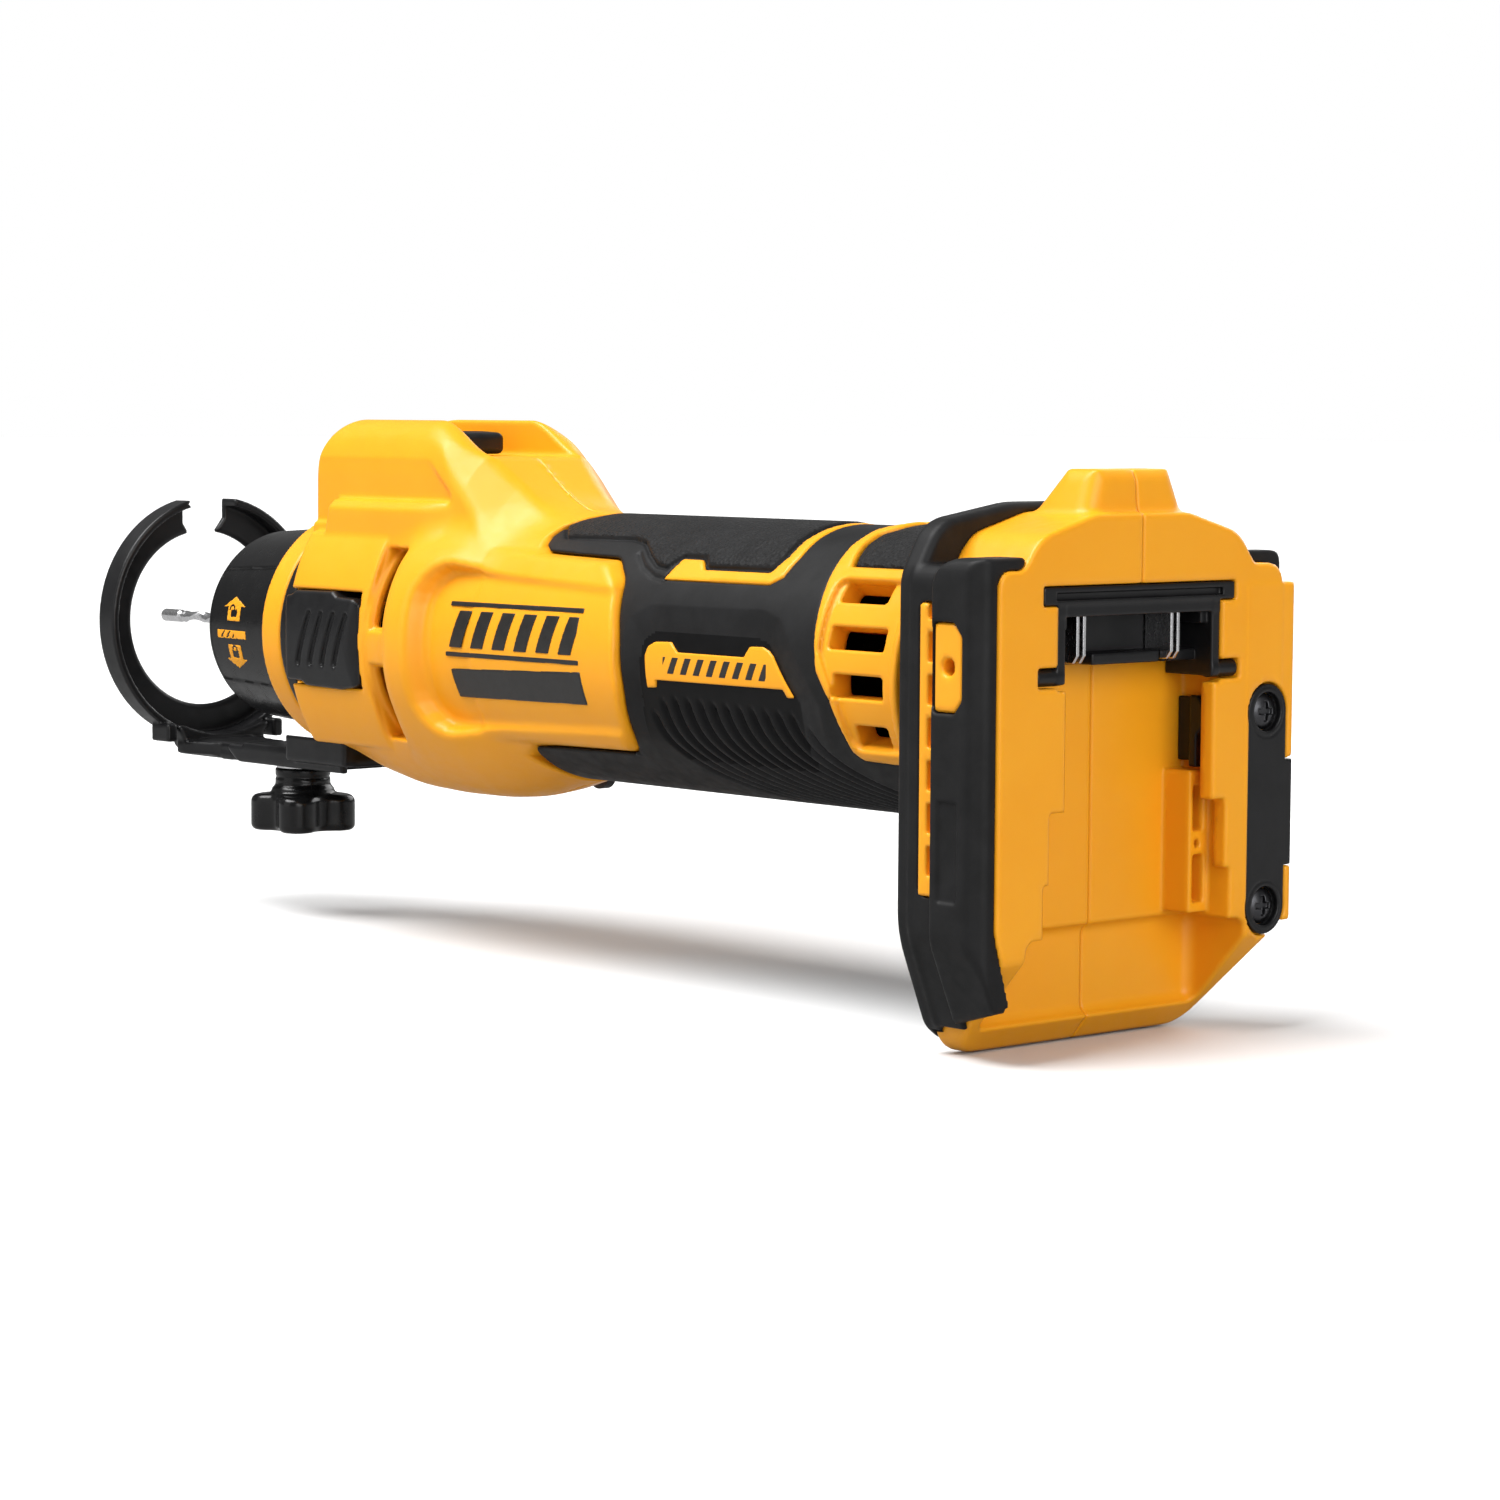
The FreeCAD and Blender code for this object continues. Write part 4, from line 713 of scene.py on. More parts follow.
def grip(p):
    """Rubber sleeve over one side of the barrel."""
    x, s, r = arc(p)
    a = (r - grip_height(x, s)) * 0.85
    a = smax(a, 26.7 - r, 0.1)
    a = smax(a, slab(x, -159.6, -25.9), 0.5)
    a = smax(a, 0.35 - polygon(x, p[2], YELLOW_REAR), 0.9)
    a = smax(a, 0.25 - polygon(x, s, bend(VENT_LINE)), 0.6)
    a = smax(a, 0.15 - polygon(x, s, bend(STRIPE)), 0.35)
    return a


def badge(p):
    """Plain yellow badge plate on the grip."""
    x, s, r = arc(p)
    return meet([polygon(x, s, bend(BADGE)), np.abs(r - 27.4) - 0.75], 0.2)


def slanted_bars(u, v, low, high, pitch, width, lean):
    """Row of parallelograms between two values of v."""
    along = u - lean * v
    nearest = np.abs(along - np.round(along / pitch) * pitch) - width / 2
    return maximum(nearest * 0.9, slab(v, low, high))


def badge_marks(p):
    """Plain slanted marks where a badge has its lettering."""
    x, s, r = arc(p)
    bars = slanted_bars(x, s, -2, 1.6, 4, 2, 0.45)
    return meet([bars, slab(x, -107.2, -75.5), np.abs(r - 27.95) - 0.24], 0.05)


LABEL = [(-176.4, -4.4), (-131.6, -2.9), (-130.6, -9.8), (-175.2, -10.6)]


def label(p):
    """Blank slanted label."""
    x, y, z = p
    r = hypot(y, z)
    return meet([polygon(x, z, LABEL), np.abs(r - label_floor(x) + 0.1) - 0.3], 0.08)


def label_marks(p):
    """Two lines and a row of plain slanted marks above the label."""
    x, y, z = p
    r = hypot(y, z)
    rise = (x + 155) * 0.005
    lines = minimum(slab(z - rise, 9.3, 10.3), slab(z - rise, -1.6, -0.6))
    lines = meet([lines, slab(x, -178, -132)])
    bars = meet([slanted_bars(x, z - rise, 0.4, 8.4, 7.6, 4.3, 0.32), slab(x, -177, -133)])
    return meet([minimum(lines, bars), np.abs(r - label_floor(x)) - 0.16], 0.04)


# ------------------------------------------------------------------ foot bumpers


# outlines with corner radii: the bumper's flange (y, z), its window and its band (x, z)
FLANGE = rounded([(-6, 34.9, 0), (15, 34.9, 30), (35.6, 31.6, 9), (41.5, 21.5, 9),
                  (41.6, -46, 24), (34.2, -64.5, 6), (29.5, -68, 2), (-6, -68, 0)])
PATCH = rounded([(-12.5, 13.1, 0.8), (-7.2, 13.1, 0.8), (-5.1, 10.5, 0.8), (-5.1, -1.1, 0.8),
                 (-7, -3.5, 0.8), (-12.5, -3.5, 0.8)], 3)
BAND_SIDE = rounded([(-13.2, 25.2, 6), (5, 25.2, 0), (5, -57.6, 0), (-13.2, -62.7, 0)])


def bumper(p, right):
    """Black overmoulding of the foot, one side."""
    x, y, z = p
    r = hypot(y, z)
    flange = meet([polygon(y, z, FLANGE), slab(x, -24.2, -18.6)], 1.6)
    inner = smax(polygon(y, z, foot_outline(-1.6)), slab(x, -30, -23.1), 0.2)
    flange = cut(flange, smax(inner, -polygon(y, z, foot_outline(-4.5)), 0.4), 0.5)
    side = polygon(y, z, foot_outline(3.1))
    band = meet([side, polygon(x, z, BAND_SIDE), x + 0.6, 30.9 - y], 0.9)
    chamfer = ((x + 3.6) * 2.2 + (y - 43.6) * 2.4) / math.hypot(2.2, 2.4)
    band = smax(band, chamfer, 0.9)
    bridge = meet([polygon(y, z, foot_outline(1.2)), slab(x, -20.5, -12.5), 30.9 - y,
                   z - 23.6, -64 - z], 0.4)
    bridge = cut(bridge, meet([slab(z, -38.6, 16.8), slab(x, -17.9, -13.2)], 2.2), 0.3)
    a = smin(smin(flange, bridge, 0.7), band, 0.7)
    if right:
        a = smax(a, x + 3.35, 0.4)
        a = cut(a, meet([-19.3 - x, z + 47 + (x + 3.35) * 0.2]), 0.5)
    held = maximum(polygon(y, z, FOOT_PLAIN), -21.95 - x)
    if not right:
        held = maximum(held, -rim_rebate(p))
    a = cut(a, held - 0.03, 0.05)
    a = cut(a, smax(polygon(x, z, PATCH) - 0.2, 36 - y, 0.1), 0.5)
    plain = meet([slab(z, -39, -20), slab(x, -11, -5.9), 43.05 - y], 0.5)
    a = cut(a, plain, 0.3)
    if right:
        x0, z0, _ = HOUSING_SCREWS[5]
        a = cut(a, smax(hypot(x - x0, z - z0) - 3.9, 25 - y, 0.1), 0.6)
    a = smax(a, 26.75 - r, 0.3)
    a = smax(a, -67 - z, 0.6)
    return smax(a, 0.03 - y, 0.1)


def foot_patch(p):
    """Raised yellow patch with the accessory hole, in the bumper's window."""
    x, y, z = p
    return meet([polygon(x, z, PATCH), slab(y, 36, 43.1)], 0.5)


SCREW_WELL = 3.7
# (x, z, y of the seat) of the screws that hold the halves together
HOUSING_SCREWS = ((-193, 34, 15.5), (-229.5, -26.4, 6.5), (-176, -29.6, 12), (-68, 20.2, 12),
                  (-9, 26, 22), (-18.3, -56, 31.5))


# ------------------------------------------------------------------ nose and depth guide


def turned(p, outline, rounding=0.3):
    """A turned profile whose corners are rounded."""
    corners = rounded([(x, r, rounding) for x, r in outline], 4)
    return polygon(p[0], hypot(p[1], p[2]), corners)


def nose_ring(p):
    """Yellow ring with its hub and the sleeve that carries the front bearing."""
    return turned(p, [
        (-262, 14.1), (-262, 16.9), (-251.6, 16.9), (-251.3, 26), (-249.6, 28), (-243.1, 28),
        (-242.6, 27.4), (-242.6, 24), (-238.1, 24), (-238.1, 12), (-212, 12),
        (-212, 8.6), (-242.8, 8.6), (-242.8, 14.02), (-250.9, 14.02), (-250.9, 14.1)], 0.35)


COLLAR_TAPER = 0.0635
COLLAR_PANEL = 0.55   # depth of the sunk panel that carries the arrows


def round_collar(p):
    """Unrolled coordinates on the lock collar, the same on both sides, and its surface."""
    x, y, z = p
    surface = 22.35 + (x + 278.9) * COLLAR_TAPER
    return x, np.arctan2(z, np.abs(y)) * COLLAR_ROLL, hypot(y, z), surface


def nose_collar(p):
    """Black lock collar with a sunk panel on each side."""
    x, s, r, surface = round_collar(p)
    a = turned(p, [(-251.9, 16.95), (-251.9, 23.6), (-252.9, 24), (-278.9, 22.35),
                   (-280.9, 21.2), (-281.3, 19.4), (-281.3, 15), (-279.1, 15),
                   (-277.3, 19.2), (-262.4, 19.6), (-262.4, 16.95)], 0.9)
    lean = np.radians(interp(x, [-280, -252], [-2, -2.5])) * COLLAR_ROLL
    plan = meet([np.abs(s + lean) - 14.6, slab(x, -279.4, -254)], 1.2)
    return cut(a, smax(plan, surface - COLLAR_PANEL - r, 0.2), 0.35)


# turning arrow: (x, degrees)
ARROW_UP = [(-269.6, 19.4), (-274, 13), (-272, 13.2), (-272, 4.4), (-266.4, 4.4),
            (-266.4, 13.2), (-264.4, 13)]
ARROW_DOWN = [(x, -y - 5.6) for x, y in ARROW_UP]


def collar_marks(p):
    """Turning arrows with an open and a shut padlock, and a striped bar."""
    x, s, r, surface = round_collar(p)
    shape = minimum(polygon(x, s, bend(ARROW_UP, COLLAR_ROLL)),
                       polygon(x, s, bend(ARROW_DOWN, COLLAR_ROLL)))
    for middle, swing in ((9.6, 0.9), (-15.2, 0)):
        centre = math.radians(middle) * COLLAR_ROLL
        lock = meet([slab(x, -270.6, -267.9), slab(s - centre, -1.1, 0.6)], 0.25)
        shackle = np.abs(hypot(x + 269.25 + swing, s - centre - 0.8) - 0.95) - 0.24
        shackle = maximum(shackle, centre + 0.6 - s)
        shape = maximum(shape, -minimum(lock, shackle))
    low, high = (math.radians(v) * COLLAR_ROLL for v in (-6.3, -1.3))
    bar = meet([slab(x, -276.3, -263.7), slab(s, low, high)])
    hatch = maximum(slanted_bars(x, s, low + 0.2, high - 0.2, 2.5, 0.6, 0.9),
                       slab(x, -275.4, -269))
    shape = minimum(shape, maximum(bar, -hatch))
    return meet([shape, np.abs(r - surface + COLLAR_PANEL) - 0.09], 0.02)


KNOB_X = -272.7


def guide_mount(p):
    """Band behind the nose ring and the arm under it that carries the guide's bar."""
    x, y, z = p
    r = hypot(y, z)
    band = meet([np.abs(r - 26.15) - 2.05, slab(x, -242.4, -238.2)], 0.5)
    lug = box(p, (-242.4, -238.2), (-15.5, -8.5), (22.4, 27.9), 0.5)
    saddle = box(p, (-262, -238.2), (-13, 13), (-31.3, -18), 1)
    saddle = smax(saddle, (z + 24 + (x + 262) * -0.9) * 0.74, 0.8)
    arm = box(p, (-290, -238.2), (-10, 10), (-33.3, -29.3), 0.7)
    arm = smax(arm, (-(x + 290) * 0.7 - (z + 30.4)) * 0.82, 0.6)
    a = smin(smin(band, lug, 0.6), saddle, 1)
    a = smin(a, arm, 1.2)
    rib = meet([slab(x, -284, -262), slab(np.abs(y), 8.4, 9.8), slab(z, -30, -28.6)], 0.4)
    a = smin(a, rib, 0.5)
    channel = box(p, (-300, -243), (-8.3, 8.3), (-40, -31.3), 0.2)
    a = cut(a, channel, 0.3)
    a = cut(a, smax(r - 28.15, x + 242.4, 0.05), 0.3)
    a = cut(a, r - 24.1, 0.2)
    a = cut(a, meet([slab(x, -243.2, -230), z + 31.4]), 0.2)
    return cut(a, rod(p, "z", (KNOB_X, 0), 2.45, -60, -20), 0.3)


def depth_guide(p):
    """Open guide ring on its bar."""
    x, y, z = p
    r = hypot(y, z)
    ring = turned(p, [(-315.3, 21.4), (-315.3, 30), (-308.8, 30), (-308.8, 28.2),
                      (-313.7, 28.2), (-313.7, 22.2), (-314.3, 21.4)], 0.45)
    mouth = [(-4, 20), (-6.3, 23.4), (-6.3, 27), (-7.8, 28.2), (-5.6, 30.6), (-8, 45),
             (8, 45), (5.9, 30.6), (5.9, 24.6), (3.6, 21.6), (3.6, 10), (-4, 10)]
    ring = cut(ring, polygon(y, z, mouth), 0.5)
    cradle = box(p, (-311.8, -305.3), (-17, 17), (-31.9, -25.7), 1.1)
    cradle = smax(cradle, (np.abs(y) - 13 + (-27 - z) * 0.55) * 0.876, 1.2)
    cradle = smin(cradle, meet([slab(x, -312.4, -304.9), slab(np.abs(y), 14.2, 17),
                                slab(z, -29.5, -25.2)], 0.6), 0.4)
    shoulder = box(p, (-314.3, -290.6), (-8, 8), (-33.3, -29.3), 0.8)
    wedge = box(p, (-309, -296), (-12, 12), (-32.6, -29.6), 0.8)
    wedge = smax(wedge, (np.abs(y) - 8 - maximum(-(x + 296), 0) * 0.4) * 0.9, 0.6)
    bar = box(p, (-295.6, -251), (-8, 8), (-33.3, -31.6), 0.4)
    base = smin(smin(smin(cradle, shoulder, 0.9), bar, 0.5), wedge, 0.8)
    base = cut(base, smax(r - 28.2, -(x + 313.7), 0.1), 0.2)
    slot = meet([polygon(x, y, rounded([(-275.9, -3.2, 3.1), (-255.5, -3.2, 3.1),
                                        (-255.5, 3.2, 3.1), (-275.9, 3.2, 3.1)])),
                 slab(z, -60, -30)])
    base = cut(base, slot, 0.25)
    return smin(ring, base, 0.6)


def clamp_knob(p):
    """Four-lobed knob with its neck."""
    x, y, z = p[0] - KNOB_X, p[1], p[2]
    away = hypot(x, y)
    plan = away - 8.2
    for quarter in range(4):
        angle = math.radians(45 + 90 * quarter)
        lobe = hypot(x - 8 * math.cos(angle), y - 8 * math.sin(angle)) - 4.55
        plan = smin(plan, lobe, 2.6)
    crown = (z + 40 + (away / 12.6) ** 2 * 0.9) * 0.95
    a = meet([plan, maximum(crown, -49.3 - z)], 1.5)
    a = cut(a, smax(away - 5.2, z + 48.6, 0.3), 0.6)
    neck = meet([away - interp(z, [-41, -39.2, -38.2], [7.9, 7.4, 6.6]),
                 slab(z, -44, -34.25)], 0.5)
    neck = cut(neck, hypot(away - 6.7, z + 36.4) - 0.35, 0.3)
    a = smin(a, neck, 0.8)
    return cut(a, maximum(away - 2.42, -46 - z), 0.2)


def clamp_stud(p):
    """Steel stud whose domed end shows on the arm."""
    away, z = hypot(p[0] - KNOB_X, p[1]), p[2]
    stem = meet([away - 2.4, slab(z, -45.9, -29)], 0.2)
    head = smax(hypot(away, z + 31.7) - 3.4, -29.25 - z, 0.2)
    return smin(stem, head, 0.3)


# ------------------------------------------------------------------ controls and fasteners


def release_pad(p):
    """Black side pad with plain slanted ribs."""
    x, y, z = p
    outer = hypot(y - BELT_CENTRE, z) - BELT_RADIUS - 1
    plan = rounded([(-237.2, 9.3, 0.8), (-235.2, 9.6, 0.5), (-233.4, 10.6, 0.5),
                    (-219.6, 10.8, 0.6), (-217.6, 9.6, 0.6), (-211.6, 9.3, 0.8),
                    (-209.9, 8, 0.8), (-209.9, -9.6, 0.8), (-211.6, -10.5, 0.8),
                    (-216.8, -11.3, 0.6), (-229.8, -11, 0.6), (-231.6, -10, 0.5),
                    (-237.2, -9.8, 0.8)], 3)
    face = smax(outer, polygon(x, z, plan), 0.8)
    face = smax(face, ((x + 209.9) * 0.55 + (y - 29.6)) * 0.876, 0.5)
    face = smax(face, (-(x + 236.4) * 0.9 + (y - 30.6)) * 0.74, 0.5)
    face = smax(face, 21.6 - y, 0.1)
    for k in range(4):
        away = stroke(x - 4.6 * k, z, [(-231.5, -5.6), (-227.3, 5.4)])
        face = cut(face, smax(away - 0.75, -(outer + 0.75), 0.2), 0.3)
    flange = box(p, (-233.7, -209.9), (19.3, 21.9), (-11.8, 11.8), 0.3)
    return smin(face, flange, 0.3)


def switch_button(p):
    """Slide button with grip ribs, its stem and runner."""
    x, y, z = p
    crest = 46.8 - 0.4 * ((x + 213.2) / 8.7) ** 2
    cap = meet([slab(x, -222, -204.5), slab(y, -8, 8), maximum(z - crest, 41.65 - z)], 1.4)
    for k in range(4):
        groove = rod(p, "y", (-218.2 + 3.3 * k, 47.3), 1.15, -5.6, 5.6, 0.2)
        cap = cut(cap, groove, 0.35)
    stem = box(p, (-217, -209.4), (-2.7, 2.7), (38, 42.3), 0.3)
    runner = box(p, (-220, -206.4), (-6, 6), (36.1, 38.5), 0.3)
    return minimum(smin(cap, stem, 0.3), runner)


def hook_plate(p):
    """Dark strip with a countersunk ring round each screw."""
    x, y, z = p
    ends = [hypot(y - y0, z - z0) for y0, z0 in HOOK_SCREWS]
    plan = minimum.reduce([ends[0] - 5.5, ends[1] - 5.5,
                              meet([slab(y, 31, 42), slab(z, -44.8, -6.4)]),
                              meet([slab(y, 36, 44), slab(z, -37, -16)])])
    a = meet([plan, slab(x, -1.9, -0.1)], 0.25)
    for away in ends:
        a = cut(a, smax(away - 3.9, -1.45 - x, 0.1), 0.2)
        a = cut(a, away - 3.62, 0.05)
        a = cut(a, hypot(away - 5, x) - 0.22, 0.1)
    return a


def phillips(u, v, depth, radius):
    """Cross recess of a screw head; depth is measured down from the head's top."""
    reach, width = radius * 0.6 - depth * 0.35, radius * 0.16 - depth * 0.06
    cross = minimum(maximum(np.abs(u) - reach, np.abs(v) - width),
                       maximum(np.abs(v) - reach, np.abs(u) - width))
    middle = hypot(u, v) - (radius * 0.3 - depth * 0.25)
    return minimum(cross, middle)


def screw(along, u, v, seat, top, end, head, shank):
    """Pan-head screw along one axis; along grows towards the head's side."""
    away = hypot(u, v)
    high = top - seat
    dome = hypot(away, along - (top - head * 1.55)) - head * 1.55
    cap = meet([away - head, maximum(seat - along, along - top), dome], 0.25)
    cap = cut(cap, maximum(phillips(u, v, top - along, head), top - high * 0.62 - along),
              0.12)
    stem = meet([away - shank, slab(along, end, seat + 0.2)], 0.15)
    return minimum(cap, stem)


def plate_screws(p):
    """The two hook-plate screws."""
    x, y, z = p
    return minimum.reduce([screw(x, y - y0, z - z0, -1.9, -0.2, -10, 3.6, 1.5)
                              for y0, z0 in HOOK_SCREWS])


BLADES = [(y - 0.4, y + 0.4) for y in (-15.4, -13.6, 10.7, 12.5)]


def terminal_block(p):
    """Black terminal block with its top bar and ears."""
    x, y, z = p
    half_y = np.abs(y)
    bar = meet([slab(x, -5.5, -0.3), half_y - 26.5, slab(z, 16.1, 19.5)], 0.3)
    bar = cut(bar, meet([slab(x, -1.3, 5), half_y - 23.2, slab(z, 17, 18.4)], 0.2), 0.2)
    back = meet([slab(x, -12.8, -9), half_y - 20.4, slab(z, 4.2, 16.2)], 0.3)
    cheek = meet([slab(x, -12.8, -0.6), slab(half_y, 20.4, 22.6), slab(z, 1.2, 16.2)], 0.3)
    roof = meet([slab(x, -12.8, -0.6), half_y - 22.6, slab(z, 13.8, 16.2)], 0.3)
    a = smin(minimum(smin(bar, roof, 0.4), back), cheek, 0.5)
    ear = meet([hypot(x + 2.2, z - 2.6) - 1.7, slab(half_y, 20.6, 27.8)], 0.3)
    ear = cut(ear, meet([hypot(x + 2.2, z - 2.6) - 0.8, slab(half_y, 27, 29)]), 0.2)
    a = smin(a, ear, 0.4)
    gusset = meet([slab(x, -9.2, -2), slab(half_y, 18.6, 20.6), slab(z, 11.5, 14.2)], 0.2)
    shelf = box(p, (-9.2, -5), (-8.5, 20.4), (4.2, 6.4), 0.3)
    a = minimum.reduce([a, gusset, shelf])
    a = smax(a, slab(half_y, -1, 27.85), 0.1)
    for low, high in BLADES:
        a = cut(a, box(p, (-9.6, -1.9), (low - 0.1, high + 0.1), (3, 15.5)), 0.1)
    return a


def terminal_blades(p):
    """Four blades with chamfered noses."""
    x, y, z = p
    plan = polygon(x, z, [(-9.3, 15.2), (-2.2, 15.2), (-2.2, 6.3), (-3.3, 4.8), (-9.3, 4.8)])
    return minimum.reduce([meet([plan, slab(y, *blade)], 0.12) for blade in BLADES])


def battery_stop(p):
    """Black latch keeper on the socket's right wall."""
    arm = prism(p, "y", [(-8.2, -3), (-6.2, -3), (-4.2, -5.4), (-4.2, -8.4),
                         (-6.4, -10.6), (-6.4, -17), (-8.4, -17)], 22.6, 25.8, 0.4)
    foot_pad = box(p, (-12.8, -7.4), (24.4, 25.8), (-16, -3.4), 0.3)
    return smin(arm, foot_pad, 0.3)


BIT_RADIUS = 3.175 / 2
BIT_ENDS = (-331, -262)
TWIST = 0.42          # radians for each millimetre of flute


def router_bit(p):
    """Drywall bit: plain guide tip, one helical flute and the shank."""
    x, y, z = p
    r = hypot(y, z)
    whole = meet([r - BIT_RADIUS, slab(x, *BIT_ENDS)], 0.25)
    turn = np.arctan2(z, y) + (x + 322) * TWIST
    flute_depth = 0.95 * ease(-323, -320.5, x) * ease(-293, -296.5, x)
    hollow = maximum(np.cos(turn), 0) ** 0.8
    relief = maximum(-np.cos(turn + 0.9), 0) * 0.25
    body = r - (BIT_RADIUS - flute_depth * (0.25 + hollow + relief) * 0.75)
    fluted = smax(body * 0.7, slab(x, *BIT_ENDS), 0.2)
    neck = interp(x, [-324, -323.2, -322.6, -321.6], [1.7, 1.15, 1.15, 1.7])
    return smax(smax(whole, fluted, 0.1), (r - neck) * 0.7, 0.15)


# ------------------------------------------------------------------ materials


NOISE_RANGE = (0.3, 0.7)    # values that a noise texture mostly stays between


class Shade:
    """A principled material built from a few procedural layers."""

    def __init__(self, name, colour, rough, metal=0.0, **sockets):
        self.material = bpy.data.materials.new(name)
        self.material.use_nodes = True
        self.tree = self.material.node_tree
        self.shader = self.tree.nodes["Principled BSDF"]
        self.shader.inputs["Base Color"].default_value = (*colour, 1)
        self.shader.inputs["Roughness"].default_value = rough
        self.shader.inputs["Metallic"].default_value = metal
        for socket, value in sockets.items():
            self.shader.inputs[socket.replace("_", " ")].default_value = value
        self.colour = colour
        self.place = self.add("ShaderNodeTexCoord").outputs["Object"]
        self.height = None

    def add(self, kind, **values):
        """A node with its input values."""
        made = self.tree.nodes.new(kind)
        for socket, value in values.items():
            made.inputs[socket.replace("_", " ")].default_value = value
        return made

    def link(self, source, target):
        """Joins an output to an input."""
        self.tree.links.new(source, target)

    def noise(self, scale, detail=3.0, rough=0.5, stretch=None):
        """Noise over the object, in waves per metre."""
        made = self.add("ShaderNodeTexNoise", Scale=scale, Detail=detail, Roughness=rough)
        place = self.place
        if stretch:
            mapping = self.add("ShaderNodeMapping", Scale=stretch)
            self.link(place, mapping.inputs["Vector"])
            place = mapping.outputs["Vector"]
        self.link(place, made.inputs["Vector"])
        return made.outputs["Fac"]

    def cells(self, scale):
        """Cell pattern over the object."""
        made = self.add("ShaderNodeTexVoronoi", Scale=scale)
        self.link(self.place, made.inputs["Vector"])
        return made.outputs["Distance"]

    def bands(self, scale, **values):
        """Bands that follow each other along the spindle axis."""
        wave = self.add("ShaderNodeTexWave", Scale=scale, **values)
        wave.bands_direction = "X"
        self.link(self.place, wave.inputs["Vector"])
        return wave.outputs["Fac"]

    def spread(self, value, low, high):
        """A value that varies between two numbers."""
        made = self.add("ShaderNodeMapRange", From_Min=NOISE_RANGE[0], From_Max=NOISE_RANGE[1],
                        To_Min=low, To_Max=high)
        self.link(value, made.inputs["Value"])
        return made.outputs["Result"]

    def tint(self, value, other):
        """Lets the colour wander towards another one."""
        ramp = self.add("ShaderNodeValToRGB")
        stops = zip(ramp.color_ramp.elements, (0.35, 0.7), (self.colour, other))
        for element, position, colour in stops:
            element.position = position
            element.color = (*colour, 1)
        self.link(value, ramp.inputs["Fac"])
        self.link(ramp.outputs["Color"], self.shader.inputs["Base Color"])
        return self

    def roughness(self, value, low, high):
        """Roughness that varies over the surface."""
        self.link(self.spread(value, low, high), self.shader.inputs["Roughness"])
        return self

    def bump(self, value, depth, strength=1.0):
        """Adds a layer of surface relief, depth in millimetres."""
        made = self.add("ShaderNodeBump", Strength=strength, Distance=depth * MM)
        self.link(value, made.inputs["Height"])
        if self.height is not None:
            self.link(self.height, made.inputs["Normal"])
        self.height = made.outputs["Normal"]
        self.link(self.height, self.shader.inputs["Normal"])
        return self


def yellow_plastic(name="yellow_plastic", colour=(0.88, 0.365, 0.012)):
    """Satin glass-filled nylon with the fine spark-eroded texture of its mould."""
    shade = Shade(name, colour, 0.36, IOR=1.45, Specular_IOR_Level=0.35, Subsurface_Weight=0.08,
                  Subsurface_Radius=(0.9, 0.35, 0.05), Subsurface_Scale=1.2 * MM)
    shade.tint(shade.noise(55, 4), tuple(c * f for c, f in zip(colour, (0.985, 0.95, 0.8))))
    shade.roughness(shade.noise(420, 4), 0.30, 0.42)
    shade.bump(shade.noise(2600, 3, 0.6), 0.018, 0.6)
    return shade.bump(shade.noise(24, 2), 0.10, 0.25).material


def rubber(name="black_rubber", grain=0.0):
    """Matt overmoulded rubber; grain adds the pebbled grip texture."""
    shade = Shade(name, (0.006, 0.006, 0.0063), 0.5, IOR=1.4, Specular_IOR_Level=0.3)
    shade.tint(shade.noise(160, 5), (0.010, 0.010, 0.0105))
    shade.roughness(shade.noise(300, 4), 0.46 + 0.12 * (grain > 0), 0.60 + 0.12 * (grain > 0))
    shade.bump(shade.noise(3000, 3, 0.6), 0.02, 0.7)
    if grain:
        shade.bump(shade.cells(1150), grain, 1)
        shade.bump(shade.noise(900, 2, 0.5), grain, 1)
    return shade.material


def black_plastic(name, rough, colour, gloss=0.3):
    """Black nylon, glossy to satin."""
    shade = Shade(name, colour, rough, IOR=1.5, Specular_IOR_Level=gloss)
    shade.tint(shade.noise(120, 4), tuple(c * 1.5 for c in colour))
    shade.roughness(shade.noise(350, 4), rough - 0.05, rough + 0.07)
    shade.bump(shade.noise(1900, 3, 0.55), 0.012, 0.5)
    return shade.material


def metal(name, colour, rough, streak=(1, 1, 1), deep=0.006):
    """Machined or plated metal with fine tool marks."""
    shade = Shade(name, colour, rough, 1)
    shade.tint(shade.noise(240, 4, stretch=streak), tuple(c * 0.86 for c in colour))
    shade.roughness(shade.noise(900, 5, stretch=streak), rough - 0.06, rough + 0.1)
    return shade.bump(shade.noise(2800, 3, 0.6, streak), deep, 0.6).material


def coil_metal():
    """Enamelled copper wire lying side by side."""
    shade = Shade("copper", (0.62, 0.22, 0.09), 0.32, 1)
    shade.tint(shade.noise(300, 4), (0.45, 0.13, 0.05))
    return shade.bump(shade.bands(420, Distortion=1.5, Detail=2), 0.25, 0.8).material


def stacked_steel():
    """Lamination stack seen edge on."""
    shade = Shade("lamination_steel", (0.22, 0.22, 0.23), 0.45, 1)
    shade.tint(shade.noise(300, 4), (0.13, 0.12, 0.12))
    return shade.bump(shade.bands(640), 0.12, 0.8).material


def painted(name, colour, rough):
    """Printed or dyed plastic in one colour family with slight mottling."""
    shade = Shade(name, colour, rough, IOR=1.5)
    shade.tint(shade.noise(260, 4), tuple(c * 0.82 for c in colour))
    shade.roughness(shade.noise(600, 4), rough - 0.05, rough + 0.08)
    return shade.bump(shade.noise(2200, 3, 0.6), 0.012, 0.5).material


